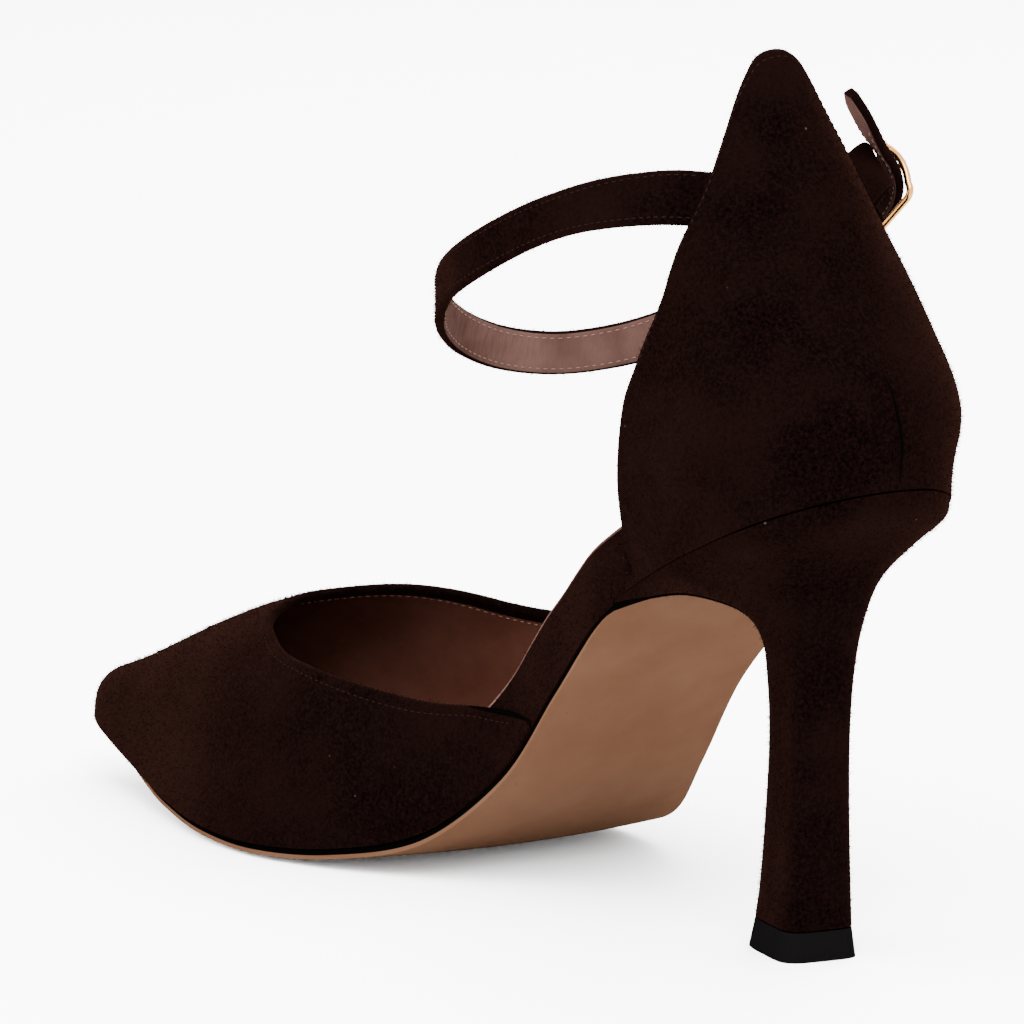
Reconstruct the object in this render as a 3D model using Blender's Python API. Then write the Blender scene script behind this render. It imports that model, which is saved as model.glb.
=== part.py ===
"""A right-foot high heel shoe with a closed pointed toe, open waist, tall back counter and ankle strap.

Metres, +Z up, +X towards the toe, +Y towards the shoe's inner (medial) side. The origin is the middle of
the heel tip's face on the floor. The feather line is where the upper meets what lies under it: its height
along the shoe and its outline in plan are the two curves that every piece takes its place from.
"""

import math
from collections import namedtuple

import bmesh
import bpy
import numpy as np

COLLECTION = "high_heel_shoe"

# Driving dimensions
SHOE_LENGTH = 0.2425  # back of the seat to the toe tip, along the floor
SEAT_BACK = 0.028  # how far the seat reaches behind the heel tip's centre
BALL_WIDTH = 0.0725  # widest part of the feather outline
HEEL_HEIGHT = 0.0855  # floor to the feather line at the back of the seat
SEAT_LENGTH = 0.052  # back of the seat to the heel's front corners
INSTEP_HEIGHT = 0.060  # height of the last's ridge over the feather line, at the waist
COUNTER_HEIGHT = 0.0725  # back of the seat to the top of the back counter
COUNTER_LEAN = 0.035  # how far the counter's top leans forward of the seat's back
COUNTER_WIDTH = 0.0525  # widest part of the back counter

# Walls, thicknesses and clearances
VAMP_WALL = 0.0018
COUNTER_WALL = 0.0022
RIM_WALL = 0.0012
RIM_LAP = 0.026  # how far the rims run in under the vamp
RIM_STEP = 0.0005  # how deep the side rims lie under the vamp and the counter
RIM_HEIGHT = 0.0112  # measured square to the shank
SOLE_EDGE = 0.0017
SOLE_CROWN = 0.0012  # extra thickness along the sole's middle
SOLE_INSET = 0.0007  # the upper stands this far over the sole's edge
TOE_INSET = 0.0014  # and this much further at the toe
INSOLE_THICKNESS = 0.0028
INSOLE_WAIST_EXTRA = 0.0022  # the shank stiffener makes the insole thicker at the waist
CLEARANCE = 0.0003
HALF_GAP = CLEARANCE / 2

# Ends of the outline
SEAT_ROUND = 0.025  # length over which the seat's back closes
SEAT_FULLNESS = 2.15
SEAT_GIRTH = 1.92  # girth of the seat's front corners, on the counter's scale
TOE_ROUND = 0.0095
TOE_PROFILE_ROUND = 0.0115  # nose radius of the toe, seen from the side
NOSE_FULLNESS = 2.3
INNER_FULLNESS = 2.3  # superellipse exponents of the last's two sides
OUTER_FULLNESS = 2.8

# Heel and its tip
TIP_HEIGHT = 0.0053
TIP_FLARE = 0.0004
HEEL_TURN = math.radians(-7.0)  # the column's front looks a little outwards
BREAST_HOLLOW = 0.0075  # how far the breast's middle is set back at the seat

# Strap and buckle
STRAP_WIDTH = 0.0080
STRAP_FLARE = 0.0022  # extra width where the strap leaves the counter
STRAP_THICKNESS = 0.0018
STRAP_HEIGHT = 0.0475  # the strap's middle over the seat's back, where it leaves the counter
STRAP_LIFT = 0.0014  # the inner side's end of the strap sits this much higher
STRAP_TUCK = 0.0065  # length of strap behind the counter's wall
STRAP_LEAD = 0.0030  # how far it runs straight on before it turns outwards
STRAP_REACH = 0.0845  # from the counter's front edge to the front of the loop
STRAP_SPREAD = 0.032  # half the loop's width
STRAP_DROOP = 0.0395  # how far the loop's front hangs under the strap's ends
TAIL_LENGTH = 0.0168
BUCKLE_AHEAD = 0.0125  # from the counter's outer edge to the middle of the buckle, in plan
BUCKLE_ASIDE = 0.0122
BUCKLE_LENGTH = 0.0120  # bar to bar, along the strap
BUCKLE_WIDTH = 0.0130  # bar to bar, across the strap
BUCKLE_WIRE = 0.0013
BUCKLE_ARCH = 0.0012  # how far the outer bar bows out
BUCKLE_CORNER = 0.0020
BUCKLE_PITCH = math.radians(47.0)  # the strap climbs through the buckle towards its back
BUCKLE_YAW = math.radians(23.0)
PRONG_WIRE = 0.0012
STUB_THICKNESS = 0.0016
HOLE_RADIUS = 0.0010

# Mesh steps
SIDE_RIBS = 24
RIB_STEPS = 10
RIM_RIBS = 12
COUNTER_RIBS = 20
COUNTER_STEPS = 14
SOLE_STATIONS = 44
SOLE_ACROSS = 10
INSOLE_STATIONS = 34
INSOLE_ACROSS = 8
HEEL_SIDES = 40
STRAP_STATIONS = 64

TOE_TIP = SHOE_LENGTH - SEAT_BACK
BREAST = SEAT_LENGTH - SEAT_BACK

# The bottom of the last. Station is a share of SHOE_LENGTH from the back, height of HEEL_HEIGHT, and
# centre and half_width are shares of BALL_WIDTH. A positive centre lies to the inner side.
Bottom = namedtuple("Bottom", "station height centre half_width")
BOTTOM = (
    Bottom(0.00, 1.000, 0.000, 0.320),
    Bottom(0.08, 0.898, 0.000, 0.332),
    Bottom(0.16, 0.795, 0.000, 0.332),
    Bottom(0.24, 0.665, -0.008, 0.314),
    Bottom(0.32, 0.480, -0.040, 0.294),
    Bottom(0.40, 0.258, -0.082, 0.318),
    Bottom(0.47, 0.108, -0.088, 0.392),
    Bottom(0.55, 0.046, -0.052, 0.470),
    Bottom(0.62, 0.031, -0.012, 0.496),
    Bottom(0.70, 0.034, 0.026, 0.450),
    Bottom(0.78, 0.048, 0.058, 0.356),
    Bottom(0.86, 0.075, 0.096, 0.240),
    Bottom(0.93, 0.104, 0.130, 0.140),
    Bottom(1.00, 0.135, 0.140, 0.055),
)

# The last's ridge over the feather line, as shares of SHOE_LENGTH and INSTEP_HEIGHT.
Ridge = namedtuple("Ridge", "station height")
RIDGE = (
    Ridge(0.30, 1.000),
    Ridge(0.50, 0.920),
    Ridge(0.60, 0.810),
    Ridge(0.66, 0.738),
    Ridge(0.70, 0.697),
    Ridge(0.76, 0.612),
    Ridge(0.82, 0.496),
    Ridge(0.88, 0.360),
    Ridge(0.93, 0.260),
    Ridge(0.97, 0.200),
    Ridge(1.00, 0.168),
)

# The vamp's top line from the throat's middle (along 0) to the wing's end at the waist (along 1). Station
# is a share of SHOE_LENGTH, and rise the angle round the last's section: 90 on the ridge, 0 at the feather.
TopLine = namedtuple("TopLine", "along station rise_inner rise_outer")
TOP_LINE = (
    TopLine(0.00, 0.722, 90.0, 90.0),
    TopLine(0.08, 0.716, 74.0, 84.0),
    TopLine(0.17, 0.702, 62.0, 77.0),
    TopLine(0.28, 0.672, 53.0, 63.5),
    TopLine(0.38, 0.636, 45.0, 50.0),
    TopLine(0.48, 0.590, 38.0, 42.0),
    TopLine(0.60, 0.532, 29.5, 35.5),
    TopLine(0.71, 0.485, 23.0, 29.5),
    TopLine(0.81, 0.440, 16.0, 22.0),
    TopLine(0.90, 0.395, 8.5, 13.0),
    TopLine(1.00, 0.345, 1.5, 1.5),
)

# The counter's horizontal sections. Height is a share of COUNTER_HEIGHT over the seat's back, lean of
# COUNTER_LEAN forward of it, half_width of COUNTER_WIDTH, and depth, the length of the section's round
# back, of half_width.
Section = namedtuple("Section", "height lean half_width depth")
SECTIONS = (
    Section(-0.36, 0.000, 0.455, 1.08),
    Section(-0.12, 0.000, 0.478, 1.08),
    Section(0.02, -0.040, 0.492, 1.06),
    Section(0.13, -0.058, 0.500, 1.03),
    Section(0.22, 0.010, 0.497, 1.00),
    Section(0.32, 0.150, 0.475, 0.98),
    Section(0.46, 0.345, 0.432, 0.97),
    Section(0.60, 0.550, 0.376, 0.97),
    Section(0.74, 0.738, 0.316, 0.96),
    Section(0.87, 0.895, 0.252, 0.96),
    Section(1.00, 1.000, 0.200, 0.96),
)

# The counter's edge, from the top (along 0) to the seat (along 1). Girth is 0 on the back's middle line,
# 1 where the section is widest, and grows by 1 for each section depth further forward.
Edge = namedtuple("Edge", "along height girth")
EDGE = (
    Edge(0.00, 1.000, 0.00),
    Edge(0.05, 0.985, 0.24),
    Edge(0.11, 0.925, 0.42),
    Edge(0.19, 0.840, 0.55),
    Edge(0.32, 0.700, 0.72),
    Edge(0.44, 0.565, 0.93),
    Edge(0.56, 0.425, 1.17),
    Edge(0.67, 0.295, 1.46),
    Edge(0.77, 0.150, 1.72),
    Edge(0.85, 0.020, 1.75),
    Edge(0.92, -0.090, 1.74),
    Edge(1.00, -0.280, 1.74),
)

# The heel's rings from the tip up to the seat, in shares of HEEL_HEIGHT (heights), SEAT_LENGTH (back and
# front, from the tip's centre) and COUNTER_WIDTH (half_width). Widest is the place between back and front
# where the ring is widest, hollow the share of BREAST_HOLLOW, turn the share of HEEL_TURN, and seat how
# much of the ring is the seat's own outline. Taper is the share of its width that a ring loses to the front.
Ring = namedtuple(
    "Ring", "back_height front_height back front widest half_width fullness hollow turn seat taper"
)
RINGS = (
    Ring(0.000, 0.000, -0.186, 0.196, 0.40, 0.145, 4.2, 0.05, 1.0, 0.0, 0.30),
    Ring(0.140, 0.140, -0.198, 0.152, 0.40, 0.128, 4.0, 0.05, 1.0, 0.0, 0.28),
    Ring(0.300, 0.295, -0.205, 0.122, 0.40, 0.116, 3.8, 0.06, 1.0, 0.0, 0.24),
    Ring(0.460, 0.440, -0.212, 0.098, 0.41, 0.111, 3.8, 0.06, 1.0, 0.0, 0.20),
    Ring(0.590, 0.565, -0.228, 0.098, 0.42, 0.118, 3.6, 0.08, 0.9, 0.0, 0.15),
    Ring(0.700, 0.655, -0.252, 0.105, 0.45, 0.145, 3.3, 0.16, 0.7, 0.0, 0.08),
    Ring(0.800, 0.700, -0.296, 0.180, 0.50, 0.207, 3.1, 0.36, 0.4, 0.0, 0.02),
    Ring(0.890, 0.715, -0.378, 0.300, 0.52, 0.298, 3.0, 0.68, 0.2, 0.2, 0.00),
    Ring(0.955, 0.716, -0.472, 0.425, 0.53, 0.400, 3.0, 0.93, 0.0, 0.5, 0.00),
)

# The strap's loop from the counter's inner edge round the front to the buckle, in shares of STRAP_REACH
# (forward), STRAP_SPREAD (aside, inner side positive) and STRAP_DROOP (drop).
Loop = namedtuple("Loop", "forward aside drop")
LOOP = (
    Loop(0.083, 0.545, -0.006),
    Loop(0.148, 0.640, 0.010),
    Loop(0.249, 0.765, 0.054),
    Loop(0.379, 0.844, 0.140),
    Loop(0.518, 0.890, 0.262),
    Loop(0.640, 0.910, 0.388),
    Loop(0.790, 0.810, 0.540),
    Loop(0.910, 0.610, 0.710),
    Loop(0.985, 0.330, 0.850),
    Loop(1.010, 0.000, 0.950),
    Loop(0.985, -0.320, 0.985),
    Loop(0.905, -0.590, 0.945),
    Loop(0.780, -0.800, 0.835),
    Loop(0.620, -0.960, 0.665),
    Loop(0.440, -1.050, 0.485),
    Loop(0.300, -1.060, 0.320),
)

# Colours as linear RGB, then roughness and metallic.
Finish = namedtuple("Finish", "color roughness metallic")
FINISHES = {
    "suede": Finish((0.018, 0.006, 0.004), 0.95, 0.0),
    "lining_leather": Finish((0.180, 0.082, 0.062), 0.60, 0.0),
    "sole_leather": Finish((0.420, 0.225, 0.120), 0.45, 0.0),
    "black_rubber": Finish((0.012, 0.012, 0.012), 0.60, 0.0),
    "gold_metal": Finish((0.830, 0.560, 0.250), 0.20, 1.0),
}


def smooth(table, key, value, at):
    """A smooth curve through one column of a table, read at places given in another column."""
    keys = np.array([getattr(row, key) for row in table], float)
    values = np.array([getattr(row, value) for row in table], float)
    slopes = np.gradient(values, keys)
    at = np.clip(np.asarray(at, float), keys[0], keys[-1])
    i = np.clip(np.searchsorted(keys, at, side="right") - 1, 0, len(keys) - 2)
    step = keys[i + 1] - keys[i]
    t = (at - keys[i]) / step
    start = (2 * t**3 - 3 * t**2 + 1) * values[i] + (t**3 - 2 * t**2 + t) * step * slopes[i]
    end = (3 * t**2 - 2 * t**3) * values[i + 1] + (t**3 - t**2) * step * slopes[i + 1]
    return start + end


def closing(distance, length, fullness):
    """1 away from an end, and 0 at it: a superellipse quarter over the given length."""
    t = np.clip(np.asarray(distance, float) / length, 0.0, 1.0)
    return (1 - (1 - t) ** fullness) ** (1 / fullness)


def ease(t):
    t = np.clip(t, 0.0, 1.0)
    return t * t * (3 - 2 * t)


def mix(a, b, t):
    return a + (b - a) * t


def station(x):
    return (np.asarray(x, float) + SEAT_BACK) / SHOE_LENGTH


def feather_height(x):
    return HEEL_HEIGHT * smooth(BOTTOM, "station", "height", station(x))


def feather_centre(x):
    return BALL_WIDTH * smooth(BOTTOM, "station", "centre", station(x))


def feather_half(x):
    half = BALL_WIDTH * smooth(BOTTOM, "station", "half_width", station(x))
    back = closing(np.asarray(x) + SEAT_BACK, SEAT_ROUND, SEAT_FULLNESS)
    return half * back * closing(TOE_TIP - np.asarray(x), TOE_ROUND, 2.0)


def ridge_height(x):
    height = INSTEP_HEIGHT * smooth(RIDGE, "station", "height", station(x))
    return height * closing(TOE_TIP - np.asarray(x), TOE_PROFILE_ROUND, NOSE_FULLNESS)


def shank_slope(x):
    step = 0.001
    return (feather_height(x + step) - feather_height(x - step)) / (2 * step)


def upper_side(x):
    """The height of whatever stands on the feather line, half a gap over it."""
    return feather_height(x) + HALF_GAP * np.sqrt(1 + shank_slope(x) ** 2)


def under_side(x):
    """The height of whatever lies under the feather line, half a gap below it."""
    return feather_height(x) - HALF_GAP * np.sqrt(1 + shank_slope(x) ** 2)


def vamp_point(x, y):
    """The last's surface over a place in plan."""
    aside = y - feather_centre(x)
    across = np.clip(np.abs(aside) / np.maximum(feather_half(x), 1e-6), 0.0, 1.0)
    fullness = np.where(aside > 0, INNER_FULLNESS, OUTER_FULLNESS)
    height = ridge_height(x) * (1 - across**fullness) ** (1 / fullness)
    return np.stack([x, y, upper_side(x) + height], axis=-1)


def round_share(angle, side):
    """How far the last's section has come in from the feather line, at an angle round it."""
    fullness = INNER_FULLNESS if side > 0 else OUTER_FULLNESS
    return 1 - np.cos(angle) ** (2 / fullness)


def vamp_ribs():
    """Ribs from the feather line to the top line, from the inner wing's end round the toe to the outer's."""
    ribs = []
    for place in np.linspace(-1.0, 1.0, 2 * SIDE_RIBS + 1):
        side = 1.0 if place <= 0 else -1.0
        along = abs(place) ** 1.45
        rise = "rise_inner" if side > 0 else "rise_outer"
        top_x = smooth(TOP_LINE, "along", "station", along) * SHOE_LENGTH - SEAT_BACK
        top_angle = math.radians(smooth(TOP_LINE, "along", rise, along))
        foot_share = 1 - (1 - along) ** 1.4
        wing_x = TOP_LINE[-1].station * SHOE_LENGTH - SEAT_BACK
        foot_x = TOE_TIP - 1e-5 - (TOE_TIP - wing_x) * foot_share
        foot_y = feather_centre(foot_x) + side * feather_half(foot_x)
        top_y = feather_centre(top_x) + side * feather_half(top_x) * (1 - round_share(top_angle, side))
        angle = np.linspace(0.0, 1.0, RIB_STEPS + 1) * top_angle
        inward = round_share(angle, side) / round_share(top_angle, side)
        ribs.append(vamp_point(mix(foot_x, top_x, inward), mix(foot_y, top_y, inward)))
    return np.array(ribs)


def rim_ribs(side):
    """The low side wall that covers the insole's edge between the vamp's wing and the counter."""
    back = BREAST - 0.009
    front = TOP_LINE[-1].station * SHOE_LENGTH - SEAT_BACK + RIM_LAP
    x = np.linspace(back, front, RIM_RIBS)
    tall = RIM_HEIGHT * np.sqrt(1 + shank_slope(x) ** 2)
    y = feather_centre(x) + side * (feather_half(x) - RIM_STEP)
    foot = np.stack([x, y, upper_side(x)], axis=-1)
    ribs = []
    for share in np.linspace(0.0, 1.0, 4):
        lean = np.stack([0 * x, -side * 0.0006 * share**2 + 0 * x, tall * share], axis=-1)
        ribs.append(foot + lean)
    ribs = np.array(ribs).transpose(1, 0, 2)
    return ribs if side > 0 else ribs[::-1]


def counter_section(girth, height, side):
    """A place on the back counter's outer face, from the girth and the height over the seat's back."""
    share = height / COUNTER_HEIGHT
    half = COUNTER_WIDTH * smooth(SECTIONS, "height", "half_width", share)
    depth = half * smooth(SECTIONS, "height", "depth", share)
    back = COUNTER_LEAN * smooth(SECTIONS, "height", "lean", share) - SEAT_BACK
    turn = np.minimum(girth, 1.0) * math.pi / 2
    x = back + depth * (1 - np.cos(turn)) + depth * np.maximum(girth - 1.0, 0.0)
    return np.stack([x, side * half * np.sin(turn), HEEL_HEIGHT + height], axis=-1)


def seat_point(girth, side):
    """A place on the seat's outline with the same girth as on the counter's lowest section."""
    depth = SEAT_LENGTH / SEAT_GIRTH
    turn = np.minimum(girth, 1.0) * math.pi / 2
    x = depth * (1 - np.cos(turn)) + depth * np.maximum(girth - 1.0, 0.0) - SEAT_BACK
    y = feather_centre(x) + side * feather_half(x)
    return np.stack([x, y, upper_side(x)], axis=-1)


def counter_rib(foot_girth, top_girth, top_height, side):
    """One rib of the counter, from the seat's outline to a point of its edge."""
    foot = seat_point(foot_girth, side)
    share = np.linspace(0.0, 1.0, COUNTER_STEPS + 1)
    girth = mix(foot_girth, top_girth, share)
    height = mix(foot[2] - HEEL_HEIGHT, top_height, share)
    wall = counter_section(girth, height, side)
    seat = seat_point(girth, side)
    held = ease((height - (foot[2] - HEEL_HEIGHT)) / 0.016)[:, None]
    plan = mix(seat[:, :2], wall[:, :2], held)
    return np.column_stack([plan, wall[:, 2]])


def counter_ribs():
    ribs = []
    for place in np.linspace(-1.0, 1.0, 2 * COUNTER_RIBS + 1):
        side = -1.0 if place < 0 else 1.0
        along = abs(place)
        top_girth = smooth(EDGE, "along", "girth", along)
        top_height = smooth(EDGE, "along", "height", along) * COUNTER_HEIGHT
        foot_girth = EDGE[-1].girth * along
        if along == 1.0:
            top_height = seat_point(foot_girth, side)[2] - HEEL_HEIGHT + 0.004
        ribs.append(counter_rib(foot_girth, top_girth, top_height, side))
    return np.array(ribs)


def breast_line(across):
    """How far forward the heel's seat reaches, from the middle (0) to a side (1 or -1)."""
    return BREAST - BREAST_HOLLOW * (1 - np.asarray(across) ** 2)


def heel_ring(ring):
    """One ring of the heel. Turn runs from the back round the inner side to the front and home."""
    turn = np.linspace(0.0, 2 * math.pi, HEEL_SIDES, endpoint=False)
    power = 2 / ring.fullness
    along = -np.sign(np.cos(turn)) * np.abs(np.cos(turn)) ** power
    across = np.sign(np.sin(turn)) * np.abs(np.sin(turn)) ** power
    back, front = ring.back * SEAT_LENGTH, ring.front * SEAT_LENGTH
    widest = mix(back, front, ring.widest)
    x = np.where(along < 0, widest + along * (widest - back), widest + along * (front - widest))
    x = x - np.maximum(along, 0.0) * ring.hollow * BREAST_HOLLOW * (1 - across**2)
    y = ring.half_width * COUNTER_WIDTH * across * (1 - ring.taper * (x - back) / (front - back))
    swing = ring.turn * HEEL_TURN
    x, y = x * math.cos(swing) - y * math.sin(swing), x * math.sin(swing) + y * math.cos(swing)
    slope = (ring.front_height - ring.back_height) * HEEL_HEIGHT / (front - back)
    z = ring.back_height * HEEL_HEIGHT + slope * (x - back)
    return np.stack([x, y, z], axis=-1)


def seat_ring(turn, scale=1.0):
    """The seat's outline on the feather surface, drawn in towards its middle by scale."""
    power = 2 / 3.0
    square = math.sqrt(2.0)
    along = -np.sign(np.cos(turn)) * np.abs(np.cos(turn)) ** power
    across = np.sign(np.sin(turn)) * np.abs(np.sin(turn)) ** power
    across = np.where(along > 0, np.clip(square * np.sin(turn), -1.0, 1.0), across)
    along = np.where(along > 0, np.clip(-square * np.cos(turn), 0.0, 1.0), along)
    middle = -SEAT_BACK + 0.5 * SEAT_LENGTH
    x = np.where(along < 0, middle * (1 + along) - along * -SEAT_BACK, middle)
    x = np.where(along >= 0, mix(middle, breast_line(across), along), x)
    reach = np.maximum(np.abs(across), 1e-9)
    edge = feather_half(np.maximum(x, -SEAT_BACK + 1e-6)) - SOLE_INSET * 0.4
    limit = np.where(along < 0, 1.0, reach)
    y = feather_centre(x) + np.sign(across) * edge * np.where(along < 0, 1.0, limit)
    x = middle + (x - middle) * scale
    y = y * scale
    return np.stack([x, y, under_side(x)], axis=-1)


def heel_rings(turn):
    """All rings of the heel. The upper ones pass over into the seat's outline."""
    seat = seat_ring(turn)
    rings = []
    for ring in RINGS:
        shape = heel_ring(ring)
        shape = mix(shape, np.column_stack([seat[:, :2], shape[:, 2]]), ring.seat)
        shape[:, 2] = np.minimum(shape[:, 2], under_side(shape[:, 0]) - 0.0012)
        rings.append(shape)
    return rings


def lower_rings(rings, height):
    """The ring at a height between the first two, for the joint between the heel and its tip."""
    low, high = rings[0], rings[1]
    return mix(low, high, height / high[0, 2])


def mesh_object(name, points, faces, finish, collection):
    mesh = bpy.data.meshes.new(name)
    mesh.from_pydata([tuple(map(float, p)) for p in points], [], faces)
    mesh.materials.append(material(finish))
    obj = bpy.data.objects.new(name, mesh)
    collection.objects.link(obj)
    return obj


def loft(name, rings, finish, collection):
    """A closed solid through rings of equal length, with a flat fan of faces at each end."""
    count = len(rings[0])
    faces = [tuple(reversed(range(count)))]
    for i in range(len(rings) - 1):
        for j in range(count):
            k = (j + 1) % count
            faces.append((i * count + j, i * count + k, (i + 1) * count + k, (i + 1) * count + j))
    faces.append(tuple(range((len(rings) - 1) * count, len(rings) * count)))
    obj = mesh_object(name, np.concatenate(rings), faces, finish, collection)
    point_outwards(obj)
    return obj


def point_outwards(obj):
    work = bmesh.new()
    work.from_mesh(obj.data)
    bmesh.ops.remove_doubles(work, verts=work.verts, dist=1e-6)
    bmesh.ops.recalc_face_normals(work, faces=work.faces)
    work.to_mesh(obj.data)
    work.free()


def inner_face(ribs, wall, upright):
    """The grid of a wall's inner face. Upright is 1 for ribs whose wall stands straight on the feather line."""
    around = np.gradient(ribs, axis=0)
    normal = np.cross(around, np.gradient(ribs, axis=1))
    normal[:, 0, 2] = 0.0
    normal /= np.linalg.norm(normal, axis=2, keepdims=True)
    level = np.stack([around[:, :1, 1], -around[:, :1, 0], 0 * around[:, :1, 0]], axis=-1)
    level /= np.linalg.norm(level, axis=2, keepdims=True)
    normal = mix(normal, level, upright[:, None, None])
    normal /= np.linalg.norm(normal, axis=2, keepdims=True)
    return ribs + wall * normal


def shell(name, ribs, wall, finish, collection, upright=None):
    """A closed wall whose outer face is the grid of ribs, and whose lower edge is level across."""
    inner = inner_face(ribs, wall, np.zeros(len(ribs)) if upright is None else upright)
    rings = [np.concatenate([outer, hidden[::-1]]) for outer, hidden in zip(ribs, inner)]
    return loft(name, rings, finish, collection)


def shade_round(obj, degrees=40.0):
    obj.data.shade_smooth()
    obj.data.set_sharp_from_angle(angle=math.radians(degrees))


def apply_all(obj):
    """The object's evaluated mesh takes the place of its own, and its modifiers go."""
    bpy.context.view_layer.update()
    graph = bpy.context.evaluated_depsgraph_get()
    mesh = bpy.data.meshes.new_from_object(obj.evaluated_get(graph))
    obj.modifiers.clear()
    obj.data = mesh


def union(base, pieces):
    for piece in pieces:
        modifier = base.modifiers.new("join", "BOOLEAN")
        modifier.operation = "UNION"
        modifier.object = piece
        modifier.solver = "EXACT"
        apply_all(base)
        bpy.data.objects.remove(piece)


def material(name):
    found = bpy.data.materials.get(name)
    if found:
        return found
    finish = FINISHES[name]
    made = bpy.data.materials.new(name)
    made.use_nodes = True
    shader = made.node_tree.nodes["Principled BSDF"]
    shader.inputs["Base Color"].default_value = (*finish.color, 1.0)
    shader.inputs["Roughness"].default_value = finish.roughness
    shader.inputs["Metallic"].default_value = finish.metallic
    return made


def make_upper(collection):
    """The vamp, both side rims and the counter, joined into one wall."""
    wing = ease((np.abs(np.linspace(-1.0, 1.0, 2 * SIDE_RIBS + 1)) - 0.62) / 0.2)
    upper = shell("upper", vamp_ribs(), VAMP_WALL, "suede", collection, wing)
    pieces = [
        shell("rim_inner", rim_ribs(1.0), RIM_WALL, "suede", collection),
        shell("rim_outer", rim_ribs(-1.0), RIM_WALL, "suede", collection),
        shell("counter", counter_ribs(), COUNTER_WALL, "suede", collection),
    ]
    union(upper, pieces)
    shade_round(upper)
    return upper


def make_outsole(collection):
    """The leather sole, from the heel's breast to the toe. It lies flat on the floor under the ball."""

    def top(x, share):
        return under_side(x) + 0 * share

    def bottom(x, share):
        return np.maximum(top(x, share) - SOLE_EDGE - SOLE_CROWN * (1 - share**2), 0.0)

    share = np.linspace(-1.0, 1.0, SOLE_ACROSS + 1)
    start = breast_line(share) + CLEARANCE
    end = TOE_TIP - SOLE_INSET - TOE_INSET - 5e-5
    rings = []
    for t in np.linspace(0.0, 1.0, SOLE_STATIONS):
        way = mix(t, 1 - (1 - t) ** 2, 0.45)
        x = mix(start, end, way)
        inset = SOLE_INSET + TOE_INSET * ease((station(x) - 0.80) / 0.16)
        half = np.maximum(feather_half(x + inset * way) - inset, 2e-4)
        y = feather_centre(x) + share * half
        high = np.stack([x, y, top(x, share)], axis=-1)
        low = np.stack([x, y, bottom(x, share)], axis=-1)
        rings.append(np.concatenate([high, low[::-1]]))
    outsole = loft("outsole", rings, "sole_leather", collection)
    shade_round(outsole)
    return outsole


def insole_top(x):
    waist = np.exp(-(((station(x) - 0.30) / 0.13) ** 2))
    return upper_side(x) + INSOLE_THICKNESS + INSOLE_WAIST_EXTRA * waist


def make_insole(collection):
    """The covered insole board that lies inside the upper."""
    inset = COUNTER_WALL + CLEARANCE
    back = -SEAT_BACK + inset
    end = TOE_TIP - VAMP_WALL - 0.0022
    rings = []
    for t in np.linspace(0.0, 1.0, INSOLE_STATIONS):
        way = 0.5 - 0.5 * math.cos(math.pi * t)
        x = mix(back + 5e-5, end, mix(t, way, 0.75))
        share = np.linspace(-1.0, 1.0, INSOLE_ACROSS + 1)
        outer = feather_half(mix(x, x - inset, 1 - t) + (inset + 0.001) * t) - inset
        half = max(float(outer), 2e-4)
        y = feather_centre(x) + share * half
        high = np.stack([x + 0 * share, y, insole_top(x) - 0.0008 * (1 - share**2)], axis=-1)
        low = np.stack([x + 0 * share, y, upper_side(x) + 0 * share], axis=-1)
        rings.append(np.concatenate([high, low[::-1]]))
    insole = loft("insole", rings, "lining_leather", collection)
    shade_round(insole)
    return insole


def make_heel(collection):
    """The covered heel: a column that spreads into the seat, and the rubber tip under it."""
    turn = np.linspace(0.0, 2 * math.pi, HEEL_SIDES, endpoint=False)
    rings = heel_rings(turn)
    joint = lower_rings(rings, TIP_HEIGHT + CLEARANCE)
    seat = [seat_ring(turn, scale) for scale in (1.0, 0.66, 0.33, 0.04)]
    heel = loft("heel", [joint] + rings[1:] + seat, "suede", collection)
    shade_round(heel)
    flare = 1 + TIP_FLARE / (RINGS[0].half_width * COUNTER_WIDTH)
    floor_ring = rings[0] * np.array([flare, flare, 1.0])
    tip = loft("heel_tip", [floor_ring, lower_rings(rings, TIP_HEIGHT)], "black_rubber", collection)
    shade_round(tip)
    return heel, tip


def edge_girth_at(height):
    """The girth of the counter's edge at a height over the seat's back, above the seat."""
    along = np.linspace(0.0, 0.75, 200)
    heights = smooth(EDGE, "along", "height", along) * COUNTER_HEIGHT
    return float(np.interp(-height, -heights, smooth(EDGE, "along", "girth", along)))


def wall_directions(girth, height, side):
    """A place on the counter's outer face, with the unit directions up along the wall and inwards."""
    at = counter_section(girth, height, side)
    ahead = counter_section(girth + 0.01, height, side) - at
    above = counter_section(girth, height + 0.0005, side) - at
    inward = np.cross(ahead, above) * side
    return at, above / np.linalg.norm(above), inward / np.linalg.norm(inward)


def smooth_path(points, count):
    """Evenly spaced places on a smooth curve through the given points."""
    points = np.asarray(points, float)
    chord = np.concatenate([[0.0], np.cumsum(np.linalg.norm(np.diff(points, axis=0), axis=1))])
    Knot = namedtuple("Knot", "at x y z")
    knots = [Knot(a, *p) for a, p in zip(chord, points)]
    fine = np.linspace(0.0, chord[-1], 600)
    curve = np.stack([smooth(knots, "at", axis, fine) for axis in "xyz"], axis=-1)
    length = np.concatenate([[0.0], np.cumsum(np.linalg.norm(np.diff(curve, axis=0), axis=1))])
    even = np.linspace(0.0, length[-1], count)
    return np.stack([np.interp(even, length, curve[:, k]) for k in range(3)], axis=-1)


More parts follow.
